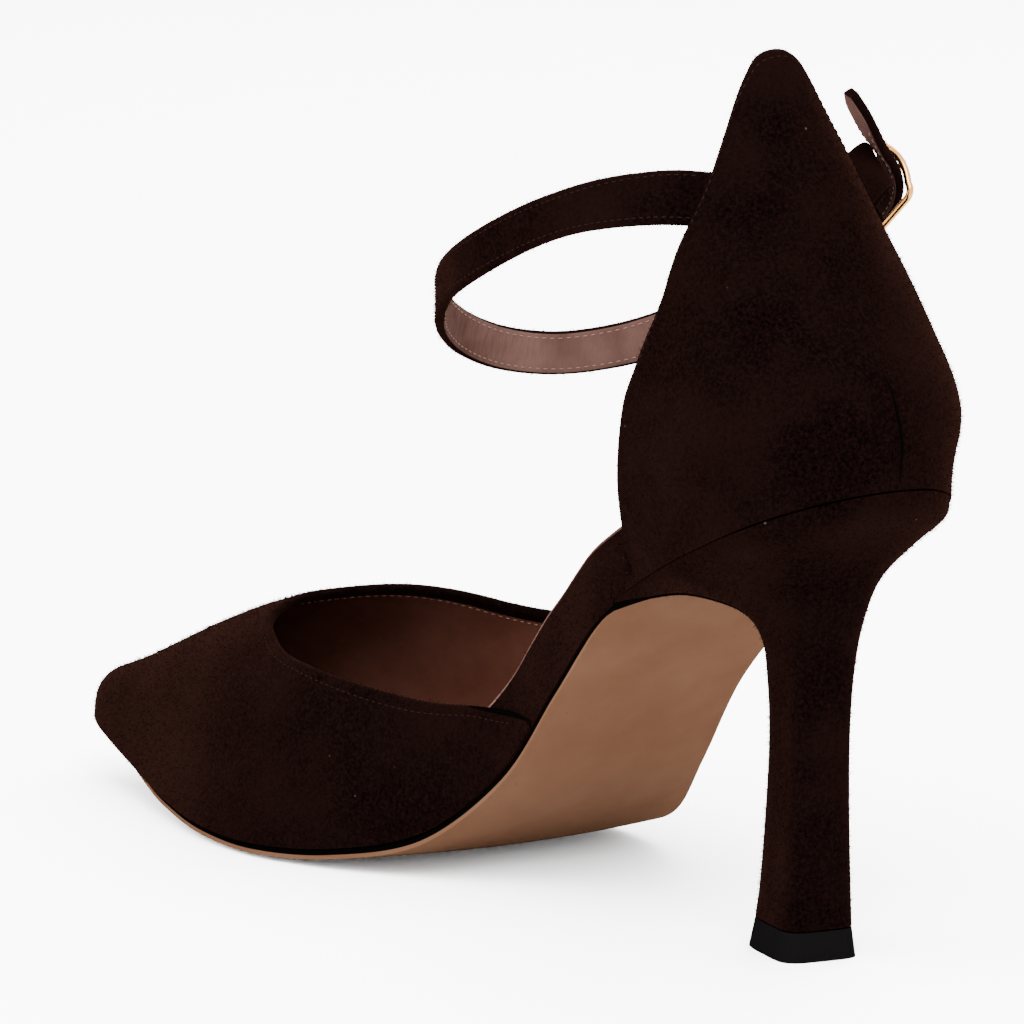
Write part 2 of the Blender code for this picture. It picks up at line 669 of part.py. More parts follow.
def strip_rings(path, across, width, thickness, spread=None):
    """Rings of a flat strap along a path. Across is its width direction, and spread scales its width."""
    spread = np.ones(len(path)) if spread is None else spread
    ahead = np.gradient(path, axis=0)
    ahead /= np.linalg.norm(ahead, axis=1)[:, None]
    across = across - ahead * (across * ahead).sum(axis=1)[:, None]
    across /= np.linalg.norm(across, axis=1)[:, None]
    out = np.cross(ahead, across)
    corner = 0.22 * thickness
    half, thick = width / 2, thickness / 2
    outline = (
        (half, -thick + corner), (half, thick - corner), (half - corner, thick), (-half + corner, thick),
        (-half, thick - corner), (-half, -thick + corner), (-half + corner, -thick), (half - corner, -thick),
    )
    rings = []
    for at, wide, normal, scale in zip(path, across, out, spread):
        rings.append(np.array([at + a * scale * wide + b * normal for a, b in outline]))
    return rings


def buckle_axes():
    """The buckle's middle, and its directions along the strap, across it and towards the ankle."""
    along = np.array([-math.cos(BUCKLE_PITCH) * math.cos(BUCKLE_YAW), 0.0, 0.0])
    along[1] = -math.cos(BUCKLE_PITCH) * math.sin(BUCKLE_YAW)
    along[2] = math.sin(BUCKLE_PITCH)
    across = np.array([math.sin(BUCKLE_PITCH), 0.0, math.cos(BUCKLE_PITCH)])
    across -= along * across.dot(along)
    across /= np.linalg.norm(across)
    inward = np.cross(along, across)
    edge = counter_section(edge_girth_at(STRAP_HEIGHT), STRAP_HEIGHT, -1.0)
    middle = edge + np.array([BUCKLE_AHEAD, -BUCKLE_ASIDE, -0.0022])
    return middle, along, across, inward


def tucked_points(side, thickness, height):
    """The route of a strap's end behind the counter's wall to just past its edge, and the wall's rise."""
    girth = edge_girth_at(height)
    depth = COUNTER_WALL + 3 * CLEARANCE + thickness / 2
    half = COUNTER_WIDTH * float(smooth(SECTIONS, "height", "half_width", height / COUNTER_HEIGHT))
    per_length = 2 / (math.pi * half)
    points = []
    for back in np.linspace(STRAP_TUCK, -STRAP_LEAD, 5):
        at, above, inward = wall_directions(girth - back * per_length, height, side)
        points.append(at + depth * inward)
    return points, above


def strap_route():
    """The strap's middle line and its width direction: from the counter round the loop to the tail."""
    start = counter_section(edge_girth_at(STRAP_HEIGHT), STRAP_HEIGHT, 1.0)
    points, wall_rise = tucked_points(1.0, STRAP_THICKNESS, STRAP_HEIGHT + STRAP_LIFT)
    for row in LOOP:
        x = start[0] + row.forward * STRAP_REACH
        z = start[2] - row.drop * STRAP_DROOP
        points.append(np.array([x, row.aside * STRAP_SPREAD, z]))
    middle, along, across, inward = buckle_axes()
    over = BUCKLE_WIRE / 2 + STUB_THICKNESS + 2.6 * CLEARANCE + STRAP_THICKNESS / 2
    under = BUCKLE_WIRE / 2 + 2.5 * CLEARANCE + STRAP_THICKNESS / 2
    points.append(middle - 0.62 * BUCKLE_LENGTH * along - over * inward)
    points.append(middle - 0.40 * BUCKLE_LENGTH * along - over * inward)
    points.append(middle + 0.52 * BUCKLE_LENGTH * along + under * inward)
    last = points[-1]
    for share, lift in ((0.33, 0.0006), (0.67, 0.0004), (1.0, 0.0)):
        way = np.array([-0.14 - 0.05 * lift, 0.60, 0.79]) * TAIL_LENGTH * share
        points.append(last + way + lift * inward)
    path = smooth_path(points, STRAP_STATIONS)
    share = np.linspace(0.0, 1.0, STRAP_STATIONS)
    tail_across = np.array([0.97, -0.16, 0.18])
    free = ease((share - 0.06) / 0.10)[:, None]
    near_buckle = ease((share - 0.70) / 0.14)[:, None]
    near_tip = ease((share - 0.90) / 0.09)[:, None]
    direction = mix(wall_rise, np.array([0.0, 0.0, 1.0]), free)
    return path, mix(mix(direction, across, near_buckle), tail_across, near_tip)


def make_strap(collection):
    path, across = strap_route()
    from_edge = np.linspace(0.0, 1.0, STRAP_STATIONS)
    flare = 1 + STRAP_FLARE / STRAP_WIDTH * (1 - ease((from_edge - 0.04) / 0.13))
    tip = closing((1 - from_edge) * 0.25, 0.006, 2.2)
    rings = strip_rings(path, across, STRAP_WIDTH, STRAP_THICKNESS, flare * np.maximum(tip, 0.35))
    strap = loft("ankle_strap", rings, "suede", collection)
    shade_round(strap)
    return strap


def make_stub(collection):
    """The short strap that holds the buckle: out of the counter's outer side and round the hinge bar."""
    middle, along, across, inward = buckle_axes()
    hinge = middle - 0.5 * BUCKLE_LENGTH * along
    wrap = BUCKLE_WIRE / 2 + CLEARANCE + STUB_THICKNESS / 2
    points, wall_rise = tucked_points(-1.0, STUB_THICKNESS, STRAP_HEIGHT)
    points.append(hinge + 0.0060 * along + (wrap + 0.0022) * inward)
    for turn in np.linspace(0.5, -0.5, 7) * math.pi:
        points.append(hinge - wrap * (math.cos(turn) * along - math.sin(turn) * inward))
    points.append(hinge + 0.0022 * along - wrap * inward)
    path = smooth_path(points, 40)
    share = np.linspace(0.0, 1.0, 40)
    direction = mix(wall_rise, across, ease((share - 0.36) / 0.30)[:, None])
    stub = loft("buckle_strap", strip_rings(path, direction, STRAP_WIDTH, STUB_THICKNESS), "suede", collection)
    shade_round(stub)
    return stub


def wire_rings(path, radius, closed, flat=1.0, sides=10):
    """Rings of a round wire along a path. Flat widens the wire across the path's plane."""
    if closed:
        ahead = np.roll(path, -1, axis=0) - np.roll(path, 1, axis=0)
    else:
        ahead = np.gradient(path, axis=0)
    ahead /= np.linalg.norm(ahead, axis=1)[:, None]
    inward = buckle_axes()[3]
    side = np.cross(ahead, inward)
    side /= np.linalg.norm(side, axis=1)[:, None]
    turn = np.linspace(0.0, 2 * math.pi, sides, endpoint=False)
    return [
        at + radius * (np.outer(np.cos(turn), s) + np.outer(np.sin(turn) * flat, np.cross(s, a)))
        for at, s, a in zip(path, side, ahead)
    ]


def ring_object(name, rings, finish, collection):
    """A closed ring of wire."""
    count = len(rings[0])
    total = len(rings)
    faces = []
    for i in range(total):
        n = (i + 1) % total
        for j in range(count):
            k = (j + 1) % count
            faces.append((i * count + j, i * count + k, n * count + k, n * count + j))
    obj = mesh_object(name, np.concatenate(rings), faces, finish, collection)
    point_outwards(obj)
    return obj


def make_buckle(collection):
    """The buckle's frame with a bowed outer bar, and its prong, which rests on that bar."""
    middle, along, across, inward = buckle_axes()
    corners = []
    for sx, sy in ((-1, -1), (1, -1), (1, 1), (-1, 1)):
        centre_a = sx * (BUCKLE_LENGTH / 2 - BUCKLE_CORNER)
        centre_b = sy * (BUCKLE_WIDTH / 2 - BUCKLE_CORNER)
        first = {(-1, -1): 1.0, (1, -1): 1.5, (1, 1): 0.0, (-1, 1): 0.5}[(sx, sy)]
        for turn in np.linspace(first, first + 0.5, 5) * math.pi:
            a = centre_a + BUCKLE_CORNER * math.cos(turn)
            b = centre_b + BUCKLE_CORNER * math.sin(turn)
            corners.append((a, b))
        if (sx, sy) == (1, -1):
            for b in np.linspace(-0.3, 0.3, 5) * BUCKLE_WIDTH:
                corners.append((BUCKLE_LENGTH / 2 + BUCKLE_ARCH * (1 - (2 * b / BUCKLE_WIDTH) ** 2), b))
    path = np.array([middle + a * along + b * across for a, b in corners])
    frame = ring_object("buckle", wire_rings(path, BUCKLE_WIRE / 2, True), "gold_metal", collection)
    start = middle - 0.5 * BUCKLE_LENGTH * along
    end = middle + (0.5 * BUCKLE_LENGTH + BUCKLE_ARCH + 0.0006) * along
    rest = -(BUCKLE_WIRE + PRONG_WIRE) / 2 + 0.0002
    way = np.linspace(0.0, 1.0, 8)
    prong_path = mix(start, end, way[:, None]) + rest * ease(way / 0.75)[:, None] * inward
    rings = wire_rings(prong_path, PRONG_WIRE / 2, False)
    rings[-1] = prong_path[-1] + (rings[-1] - prong_path[-1]) * 0.55
    prong = loft("prong", rings, "gold_metal", collection)
    union(frame, [prong])
    shade_round(frame)
    return frame, prong_path


def cut(target, cutter):
    modifier = target.modifiers.new("cut", "BOOLEAN")
    modifier.operation = "DIFFERENCE"
    modifier.object = cutter
    modifier.solver = "EXACT"
    apply_all(target)
    bpy.data.objects.remove(cutter)
    shade_round(target)


def open_for_prong(strap, stub, prong_path, collection):
    """The hole in the strap and the slot in the short strap that the prong passes through."""
    hole = loft("hole", wire_rings(prong_path, HOLE_RADIUS, False, sides=16), "suede", collection)
    cut(strap, hole)
    middle, along, across, inward = buckle_axes()
    hinge = middle - 0.5 * BUCKLE_LENGTH * along
    rings = []
    for reach in (-0.0045, 0.0045):
        base = hinge + reach * along
        box = [(-1, -0.0002), (1, -0.0002), (1, -0.0045), (-1, -0.0045)]
        rings.append(np.array([base + a * HOLE_RADIUS * across + b * inward for a, b in box]))
    cut(stub, loft("slot", rings, "suede", collection))


def build():
    for obj in list(bpy.data.objects):
        bpy.data.objects.remove(obj)
    collection = bpy.data.collections.new(COLLECTION)
    bpy.context.scene.collection.children.link(collection)
    make_upper(collection)
    make_outsole(collection)
    make_insole(collection)
    make_heel(collection)
    strap = make_strap(collection)
    stub = make_stub(collection)
    buckle, prong_path = make_buckle(collection)
    open_for_prong(strap, stub, prong_path, collection)


build()
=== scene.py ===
"""The looks of a right high heel shoe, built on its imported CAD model.

Laid out as an add-on: every group of pieces has its settings, an operator that builds it, and a place in
one panel. Metres, +X to the toe, +Y to the shoe's inner side, +Z up, origin under the heel tip.
"""

import math
from collections import namedtuple

import bmesh
import bpy
import numpy as np
from mathutils import Matrix, Vector


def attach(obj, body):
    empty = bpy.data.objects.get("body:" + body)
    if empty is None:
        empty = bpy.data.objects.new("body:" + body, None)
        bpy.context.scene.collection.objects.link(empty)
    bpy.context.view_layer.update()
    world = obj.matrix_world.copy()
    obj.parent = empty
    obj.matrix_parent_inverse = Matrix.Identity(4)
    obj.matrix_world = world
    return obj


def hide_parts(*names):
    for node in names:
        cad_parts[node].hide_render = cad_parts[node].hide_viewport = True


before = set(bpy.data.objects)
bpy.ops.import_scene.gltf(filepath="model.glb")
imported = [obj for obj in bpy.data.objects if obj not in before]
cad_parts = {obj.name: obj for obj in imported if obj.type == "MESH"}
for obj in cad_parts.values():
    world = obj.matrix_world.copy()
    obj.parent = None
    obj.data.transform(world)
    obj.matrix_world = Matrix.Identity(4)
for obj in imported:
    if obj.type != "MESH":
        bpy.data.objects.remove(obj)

bl_info = {
    "name": "High heel shoe",
    "version": (1, 0, 0),
    "blender": (4, 5, 0),
    "location": "View3D > Sidebar > Shoe",
    "description": "Builds the suede, lining, seams, buckle and stage of a high heel shoe",
    "category": "Object",
}

# Driving dimensions
SHOE_LENGTH = 0.2425  # back of the seat to the toe tip, along the floor
SEAT_BACK = 0.028  # how far the seat reaches behind the heel tip's centre
BALL_WIDTH = 0.0725  # widest part of the feather outline
HEEL_HEIGHT = 0.0855  # floor to the feather line at the back of the seat
SEAT_LENGTH = 0.052  # back of the seat to the heel's front corners
INSTEP_HEIGHT = 0.060  # height of the last's ridge over the feather line, at the waist
COUNTER_HEIGHT = 0.0725  # back of the seat to the top of the back counter
COUNTER_LEAN = 0.035  # how far the counter's top leans forward of the seat's back
COUNTER_WIDTH = 0.0525  # widest part of the back counter

# Walls, thicknesses and clearances
VAMP_WALL = 0.0018
COUNTER_WALL = 0.0022
RIM_WALL = 0.0012
RIM_LAP = 0.026  # how far the rims run in under the vamp
RIM_STEP = 0.0005  # how deep the side rims lie under the vamp and the counter
RIM_HEIGHT = 0.0112  # measured square to the shank
RIM_BACK = 0.009  # how far the rims run back past the heel's front corners
RIM_TUCK = 0.0007  # how much deeper they lie at the counter
RIM_TUCK_RUN = 0.012  # length over which they sink to that
RIM_LEAN = 0.0006  # how far their top edges lean in
FOLD = 0.0021  # width of the band that is folded over a wall's top edge
LIP = 0.0004  # width of the edge that shows outside on a rim
EDGE_ROUND = 0.42  # rise of a wall's rounded top edge, as a share of the wall
WING_UPRIGHT = 0.62  # from here along the vamp's sides its wall turns upright
WING_TURN = 0.20
SOLE_EDGE = 0.0017
SOLE_CROWN = 0.0012  # extra thickness along the sole's middle
SOLE_INSET = 0.0007  # the upper stands this far over the sole's edge
TOE_INSET = 0.0014  # and this much further at the toe
TOE_INSET_START = 0.80  # station where that begins, and the stretch over which it grows
TOE_INSET_RUN = 0.16
BREAST_CORNER = 0.0050  # radius of the tread's corners at the heel
SOLE_TUCK = 0.6  # how much of that radius the tread is drawn in
SKIVE = 0.35  # share of its thickness that the sole keeps at the heel
SKIVE_RUN = 0.014  # length over which it thins to that
BARE_EDGE = 0.45  # share of the sole's edge, from the tread up, that is left bare leather
INSOLE_THICKNESS = 0.0028
INSOLE_WAIST_EXTRA = 0.0022  # the shank stiffener makes the insole thicker at the waist
WAIST_STATION = 0.30  # where along the shoe that is most, and how far it spreads
WAIST_SPREAD = 0.13
INSOLE_DISH = 0.0008  # how far the insole's middle lies under its edges
INSOLE_SHORT = 0.0022  # how far it ends before the vamp's wall
CLEARANCE = 0.0003
HALF_GAP = CLEARANCE / 2

# Ends of the outline
SEAT_ROUND = 0.025  # length over which the seat's back closes
SEAT_FULLNESS = 2.15
SEAT_GIRTH = 1.92  # girth of the seat's front corners, on the counter's scale
SEAT_HOLD = 0.016  # height over which the counter's wall leaves the seat's outline
CORNER_RISE = 0.004  # height of the counter's wall at its front corners
TOE_ROUND = 0.0095
TOE_PROFILE_ROUND = 0.0115  # nose radius of the toe, seen from the side
NOSE_FULLNESS = 2.3
INNER_FULLNESS = 2.3  # superellipse exponents of the last's two sides
OUTER_FULLNESS = 2.8

# Heel and its tip
TIP_HEIGHT = 0.0053
HEEL_TURN = math.radians(-7.0)  # the column's front looks a little outwards
BREAST_HOLLOW = 0.0075  # how far the breast's middle is set back at the seat
RING_DROP = 0.0012  # the heel's rings stay this far under the seat
SEAT_SQUARE = 3.0  # superellipse exponent of the seat's ring

# Strap and buckle
STRAP_WIDTH = 0.0080
STRAP_FLARE = 0.0022  # extra width where the strap leaves the counter
STRAP_THICKNESS = 0.0018
STRAP_HEIGHT = 0.0475  # the strap's middle over the seat's back, where it leaves the counter
STRAP_LIFT = 0.0014  # the inner side's end of the strap sits this much higher
STRAP_TUCK = 0.0065  # length of strap behind the counter's wall
STRAP_LEAD = 0.0030  # how far it runs straight on before it turns outwards
STRAP_REACH = 0.0845  # from the counter's front edge to the front of the loop
STRAP_SPREAD = 0.032  # half the loop's width
STRAP_DROOP = 0.0395  # how far the loop's front hangs under the strap's ends
TAIL_LENGTH = 0.0168
TAIL_ACROSS = (0.97, -0.16, 0.18)  # direction of the tail's width
TIP_LEAST = 0.35  # share of its width that the strap keeps at its very tip
# Where along the strap its width turns upright, then to the buckle's and then to the tail's direction:
# the start and the length of each turn, as shares of the strap.
FREE_STRETCH = (0.06, 0.10)
BUCKLE_STRETCH = (0.70, 0.14)
TAIL_STRETCH = (0.90, 0.09)
STUB_STRETCH = (0.12, 0.25)  # where the short strap turns to the buckle's direction
BUCKLE_AHEAD = 0.0125  # from the counter's outer edge to the middle of the buckle, in plan
BUCKLE_ASIDE = 0.0122
BUCKLE_DROP = 0.0022  # and how far it hangs under the strap's height
BUCKLE_LENGTH = 0.0120  # bar to bar, along the strap
BUCKLE_WIDTH = 0.0130  # bar to bar, across the strap
BUCKLE_WIRE = 0.0013
BUCKLE_ARCH = 0.0012  # how far the outer bar bows out
BUCKLE_CORNER = 0.0020
BUCKLE_PITCH = math.radians(47.0)  # the strap climbs through the buckle towards its back
BUCKLE_YAW = math.radians(23.0)
PRONG_WIRE = 0.0012
PRONG_TIP = 0.55  # share of its thickness at the point
STUB_THICKNESS = 0.0016
STUB_EXTRA = 0.0015  # the short strap is this much wider here than the ankle strap
STUB_RETURN = 0.0022  # how far it comes back over itself after the hinge bar
# Its route between the counter and the hinge bar, each place as a share of the buckle's length from the
# buckle's middle and a depth towards the ankle.
STUB_STOPS = ((0.36, 0.0042), (0.05, 0.0034), (-0.24, 0.0024))

# Seams, inked lines and hairs
SEAM_LIFT = 0.00004  # how far a seam's thread stands off the leather
SEAM_ENDS = 6  # ribs left bare at each end of a seam of the upper
STRAP_SEAM = 0.0012  # from a strap's edge to its seam
STITCH_LENGTH = 0.00095
STITCH_RADIUS = 0.00012
DART_FOOT = 0.0015  # the dart's ends over the seat
DART_TOP = 0.0190
DART_RADIUS = 0.00022
WING_SHADOW_RADIUS = 0.00048  # radius of the painted shadow under the vamp's inner wing, a dark bead where shade falls, where it is widest
WING_SHADOW_OFFSET = (0.0, -0.0003, 0.0006)  # where it lies from the wing's top line
WING_SHADOW_SHARE = 14  # it runs along one part in so many of the vamp's top line
INK_RADIUS = 0.00038  # the inked line down the heel's front corner, at its top
INK_LEAST = 0.00004
HAIR_RADIUS = 0.00006
HAIR_LEAN = 0.9  # the most that a hair leans each way, in radians
HAIR_SIZES = (0.45, 1.25)  # the shortest and the longest hair, as shares of the nap's length
NAP_SEED = 0

# The upper's material slots
SUEDE, LINING, RIM_EDGE = range(3)

# Colours in the materials
LINT = (0.03, 0.018, 0.014)
SHEEN_TINT = (0.55, 0.20, 0.14, 1.0)
SOLE_SPECKS = (0.008, 0.003, 0.002)

# Stage
CAMERA_PLACE = (-1.4367, 1.0332, 0.3741)
CAMERA_TURN = math.radians(34.1)  # it looks this much to the outer side of the toe's direction
CAMERA_DIP = math.radians(9.5)
FOCAL_LENGTH = 10292.0  # on a picture that is PICTURE_WIDTH wide
PICTURE_WIDTH = 1024.0
SENSOR_WIDTH = 36.0
LIGHTS_AIM = (0.06, 0.0, 0.06)
WORLD_STRENGTH = 7.5
FLOOR_HALF = 6.0  # half the floor's width

# Mesh steps
FINE = 4  # steps drawn for each step of the coarse shapes
EDGE_ROWS = 4  # rows over a wall's rounded top edge
FOLD_ROWS = 3  # rows of the fold itself
WALL_ROWS = 34  # rows of the vamp and the counter under it
RIM_ROWS = 6
SIDE_RIBS = 24
RIB_SPREAD = 1.45  # over 1, the tops of the vamp's ribs stand closer together at the throat's middle
FOOT_SPREAD = 1.4  # over 1, their feet stand wider apart there
RIB_STEPS = 10
RIM_RIBS = 12
COUNTER_RIBS = 20
COUNTER_STEPS = 14
HEEL_SIDES = 40
STRAP_STATIONS = 64
STUB_STATIONS = 40
SOLE_COLUMNS = 41
SOLE_ROWS = 170
SOLE_CROWDING = 0.45  # how much closer its rows stand at the toe
INSOLE_COLUMNS = 33
INSOLE_ROWS = 130
INSOLE_CROWDING = 0.75  # how much closer its rows stand at both ends

TOE_TIP = SHOE_LENGTH - SEAT_BACK
BREAST = SEAT_LENGTH - SEAT_BACK


def table(columns, *rows):
    """A table of rows whose values are read by their column's name."""
    row = namedtuple("Row", columns)
    return tuple(row(*values) for values in rows)


# The bottom of the last. Station is a share of SHOE_LENGTH from the back, height of HEEL_HEIGHT, and
# centre and half_width are shares of BALL_WIDTH. A positive centre lies to the inner side.
BOTTOM = table(
    "station height centre half_width",
    (0.00, 1.000, 0.000, 0.320),
    (0.08, 0.898, 0.000, 0.332),
    (0.16, 0.795, 0.000, 0.332),
    (0.24, 0.665, -0.008, 0.314),
    (0.32, 0.480, -0.040, 0.294),
    (0.40, 0.258, -0.082, 0.318),
    (0.47, 0.108, -0.088, 0.392),
    (0.55, 0.046, -0.052, 0.470),
    (0.62, 0.031, -0.012, 0.496),
    (0.70, 0.034, 0.026, 0.450),
    (0.78, 0.048, 0.058, 0.356),
    (0.86, 0.075, 0.096, 0.240),
    (0.93, 0.104, 0.130, 0.140),
    (1.00, 0.135, 0.140, 0.055),
)

# The last's ridge over the feather line, as shares of SHOE_LENGTH and INSTEP_HEIGHT.
RIDGE = table(
    "station height",
    (0.30, 1.000),
    (0.50, 0.920),
    (0.60, 0.810),
    (0.66, 0.738),
    (0.70, 0.697),
    (0.76, 0.612),
    (0.82, 0.496),
    (0.88, 0.360),
    (0.93, 0.246),
    (0.97, 0.172),
    (1.00, 0.130),
)

# The vamp's top line from the throat's middle (along 0) to the wing's end at the waist (along 1).
# Station is a share of SHOE_LENGTH, and rise the angle round the last's section: 90 on the ridge, 0 at
# the feather line.
TOP_LINE = table(
    "along station rise_inner rise_outer",
    (0.00, 0.722, 90.0, 90.0),
    (0.08, 0.716, 74.0, 84.0),
    (0.17, 0.702, 62.0, 77.0),
    (0.28, 0.672, 53.0, 63.5),
    (0.38, 0.636, 45.0, 50.0),
    (0.48, 0.590, 38.0, 42.0),
    (0.60, 0.532, 29.5, 35.5),
    (0.71, 0.485, 23.0, 29.5),
    (0.81, 0.440, 16.0, 22.0),
    (0.90, 0.395, 7.4, 12.0),
    (1.00, 0.357, 0.3, 0.3),
)

# The counter's horizontal sections. Height is a share of COUNTER_HEIGHT over the seat's back, lean of
# COUNTER_LEAN forward of it, half_width of COUNTER_WIDTH, and depth, the length of the section's round
# back, of half_width.
SECTIONS = table(
    "height lean half_width depth",
    (-0.36, 0.000, 0.455, 1.08),
    (-0.12, 0.000, 0.478, 1.08),
    (0.02, -0.040, 0.492, 1.06),
    (0.13, -0.058, 0.500, 1.03),
    (0.22, 0.010, 0.497, 1.00),
    (0.32, 0.150, 0.475, 0.98),
    (0.46, 0.345, 0.432, 0.97),
    (0.60, 0.550, 0.376, 0.97),
    (0.74, 0.738, 0.316, 0.96),
    (0.87, 0.895, 0.252, 0.96),
    (1.00, 1.000, 0.200, 0.96),
)

# The counter's edge, from the top (along 0) to the seat (along 1). Girth is 0 on the back's middle line,
# 1 where the section is widest, and grows by 1 for each section depth further forward.
EDGE = table(
    "along height girth",
    (0.00, 1.000, 0.00),
    (0.05, 0.985, 0.24),
    (0.11, 0.925, 0.42),
    (0.19, 0.840, 0.55),
    (0.32, 0.700, 0.72),
    (0.44, 0.565, 0.93),
    (0.56, 0.425, 1.17),
    (0.67, 0.295, 1.46),
    (0.77, 0.150, 1.72),
    (0.85, 0.020, 1.75),
    (0.92, -0.090, 1.74),
    (1.00, -0.280, 1.74),
)

# The heel's rings from the tip up to the seat, in shares of HEEL_HEIGHT (heights), SEAT_LENGTH (back and
# front, from the tip's centre) and COUNTER_WIDTH (half_width). Widest is the place between back and front
# where the ring is widest, hollow the share of BREAST_HOLLOW, turn the share of HEEL_TURN, and seat how
# much of the ring is the seat's own outline. Taper is the share of its width that a ring loses towards
# the front.
RINGS = table(
    "back_height front_height back front widest half_width fullness hollow turn seat taper",
    (0.000, 0.000, -0.186, 0.196, 0.40, 0.145, 4.2, 0.05, 1.0, 0.0, 0.30),
    (0.140, 0.140, -0.198, 0.152, 0.40, 0.128, 4.0, 0.05, 1.0, 0.0, 0.28),
    (0.300, 0.295, -0.205, 0.122, 0.40, 0.116, 3.8, 0.06, 1.0, 0.0, 0.24),
    (0.460, 0.440, -0.212, 0.098, 0.41, 0.111, 3.8, 0.06, 1.0, 0.0, 0.20),
    (0.590, 0.565, -0.228, 0.098, 0.42, 0.118, 3.6, 0.08, 0.9, 0.0, 0.15),
    (0.700, 0.655, -0.252, 0.105, 0.45, 0.145, 3.3, 0.16, 0.7, 0.0, 0.08),
    (0.800, 0.700, -0.296, 0.180, 0.50, 0.207, 3.1, 0.36, 0.4, 0.0, 0.02),
    (0.890, 0.715, -0.378, 0.300, 0.52, 0.298, 3.0, 0.68, 0.2, 0.2, 0.00),
    (0.955, 0.716, -0.472, 0.425, 0.53, 0.400, 3.0, 0.93, 0.0, 0.5, 0.00),
)

# The strap's loop from the counter's inner edge round the front to the buckle, in shares of STRAP_REACH
# (forward), STRAP_SPREAD (aside, inner side positive) and STRAP_DROOP (drop).
LOOP = table(
    "forward aside drop",
    (0.083, 0.545, -0.006),
    (0.148, 0.640, 0.010),
    (0.249, 0.765, 0.054),
    (0.379, 0.844, 0.140),
    (0.518, 0.890, 0.262),
    (0.640, 0.910, 0.388),
    (0.790, 0.810, 0.540),
    (0.910, 0.610, 0.710),
    (0.985, 0.330, 0.850),
    (1.010, 0.000, 0.950),
    (0.985, -0.320, 0.985),
    (0.905, -0.590, 0.945),
    (0.780, -0.800, 0.835),
    (0.620, -0.960, 0.665),
    (0.440, -1.050, 0.485),
    (0.300, -1.060, 0.320),
)


def smooth(table, key, value, at):
    """A smooth curve through one column of a table, read at places given in another column."""
    keys = np.array([getattr(row, key) for row in table], float)
    values = np.array([getattr(row, value) for row in table], float)
    slopes = np.gradient(values, keys)
    at = np.clip(np.asarray(at, float), keys[0], keys[-1])
    i = np.clip(np.searchsorted(keys, at, side="right") - 1, 0, len(keys) - 2)
    step = keys[i + 1] - keys[i]
    t = (at - keys[i]) / step
    start = (2 * t**3 - 3 * t**2 + 1) * values[i] + (t**3 - 2 * t**2 + t) * step * slopes[i]
    end = (3 * t**2 - 2 * t**3) * values[i + 1] + (t**3 - t**2) * step * slopes[i + 1]
    return start + end


def closing(distance, length, fullness):
    """1 away from an end, and 0 at it: a superellipse quarter over the given length."""
    t = np.clip(np.asarray(distance, float) / length, 0.0, 1.0)
    return (1 - (1 - t) ** fullness) ** (1 / fullness)


def ease(t):
    """A soft step from 0 to 1."""
    t = np.clip(t, 0.0, 1.0)
    return t * t * (3 - 2 * t)


def mix(a, b, t):
    return a + (b - a) * t


def unit(vectors):
    return vectors / np.linalg.norm(vectors, axis=-1, keepdims=True)


def run(points):
    """How far along a row of points each of them lies."""
    return np.concatenate([[0.0], np.cumsum(np.linalg.norm(np.diff(points, axis=0), axis=1))])


def station(x):
    """How far along the shoe a place is, as a share of its length."""
    return (np.asarray(x, float) + SEAT_BACK) / SHOE_LENGTH


def place_of(share):
    """The x of a station."""
    return share * SHOE_LENGTH - SEAT_BACK


def feather_height(x):
    """The height of the feather line, where the upper meets the sole."""
    return HEEL_HEIGHT * smooth(BOTTOM, "station", "height", station(x))


def feather_centre(x):
    """The middle of the feather outline, from side to side."""
    return BALL_WIDTH * smooth(BOTTOM, "station", "centre", station(x))


def feather_half(x):
    """Half the width of the feather outline."""
    half = BALL_WIDTH * smooth(BOTTOM, "station", "half_width", station(x))
    back = closing(np.asarray(x) + SEAT_BACK, SEAT_ROUND, SEAT_FULLNESS)
    return half * back * closing(TOE_TIP - np.asarray(x), TOE_ROUND, 2.0)


def ridge_height(x):
    """The height of the last's ridge over the feather line."""
    height = INSTEP_HEIGHT * smooth(RIDGE, "station", "height", station(x))
    return height * closing(TOE_TIP - np.asarray(x), TOE_PROFILE_ROUND, NOSE_FULLNESS)


def shank_slope(x):
    """The slope of the feather line."""
    step = 0.001
    return (feather_height(x + step) - feather_height(x - step)) / (2 * step)


def upper_side(x):
    """The height of whatever stands on the feather line, half a gap over it."""
    return feather_height(x) + HALF_GAP * np.sqrt(1 + shank_slope(x) ** 2)


def under_side(x):
    """The height of whatever lies under the feather line, half a gap below it."""
    return feather_height(x) - HALF_GAP * np.sqrt(1 + shank_slope(x) ** 2)


def vamp_point(x, y):
    """The last's surface over a place in plan."""
    aside = y - feather_centre(x)
    across = np.clip(np.abs(aside) / np.maximum(feather_half(x), 1e-6), 0.0, 1.0)
    fullness = np.where(aside > 0, INNER_FULLNESS, OUTER_FULLNESS)
    height = ridge_height(x) * (1 - across**fullness) ** (1 / fullness)
    return np.stack([x, y, upper_side(x) + height], axis=-1)


def round_share(angle, side):
    """How far the last's section has come in from the feather line, at an angle round it."""
    fullness = INNER_FULLNESS if side > 0 else OUTER_FULLNESS
    return 1 - np.cos(angle) ** (2 / fullness)


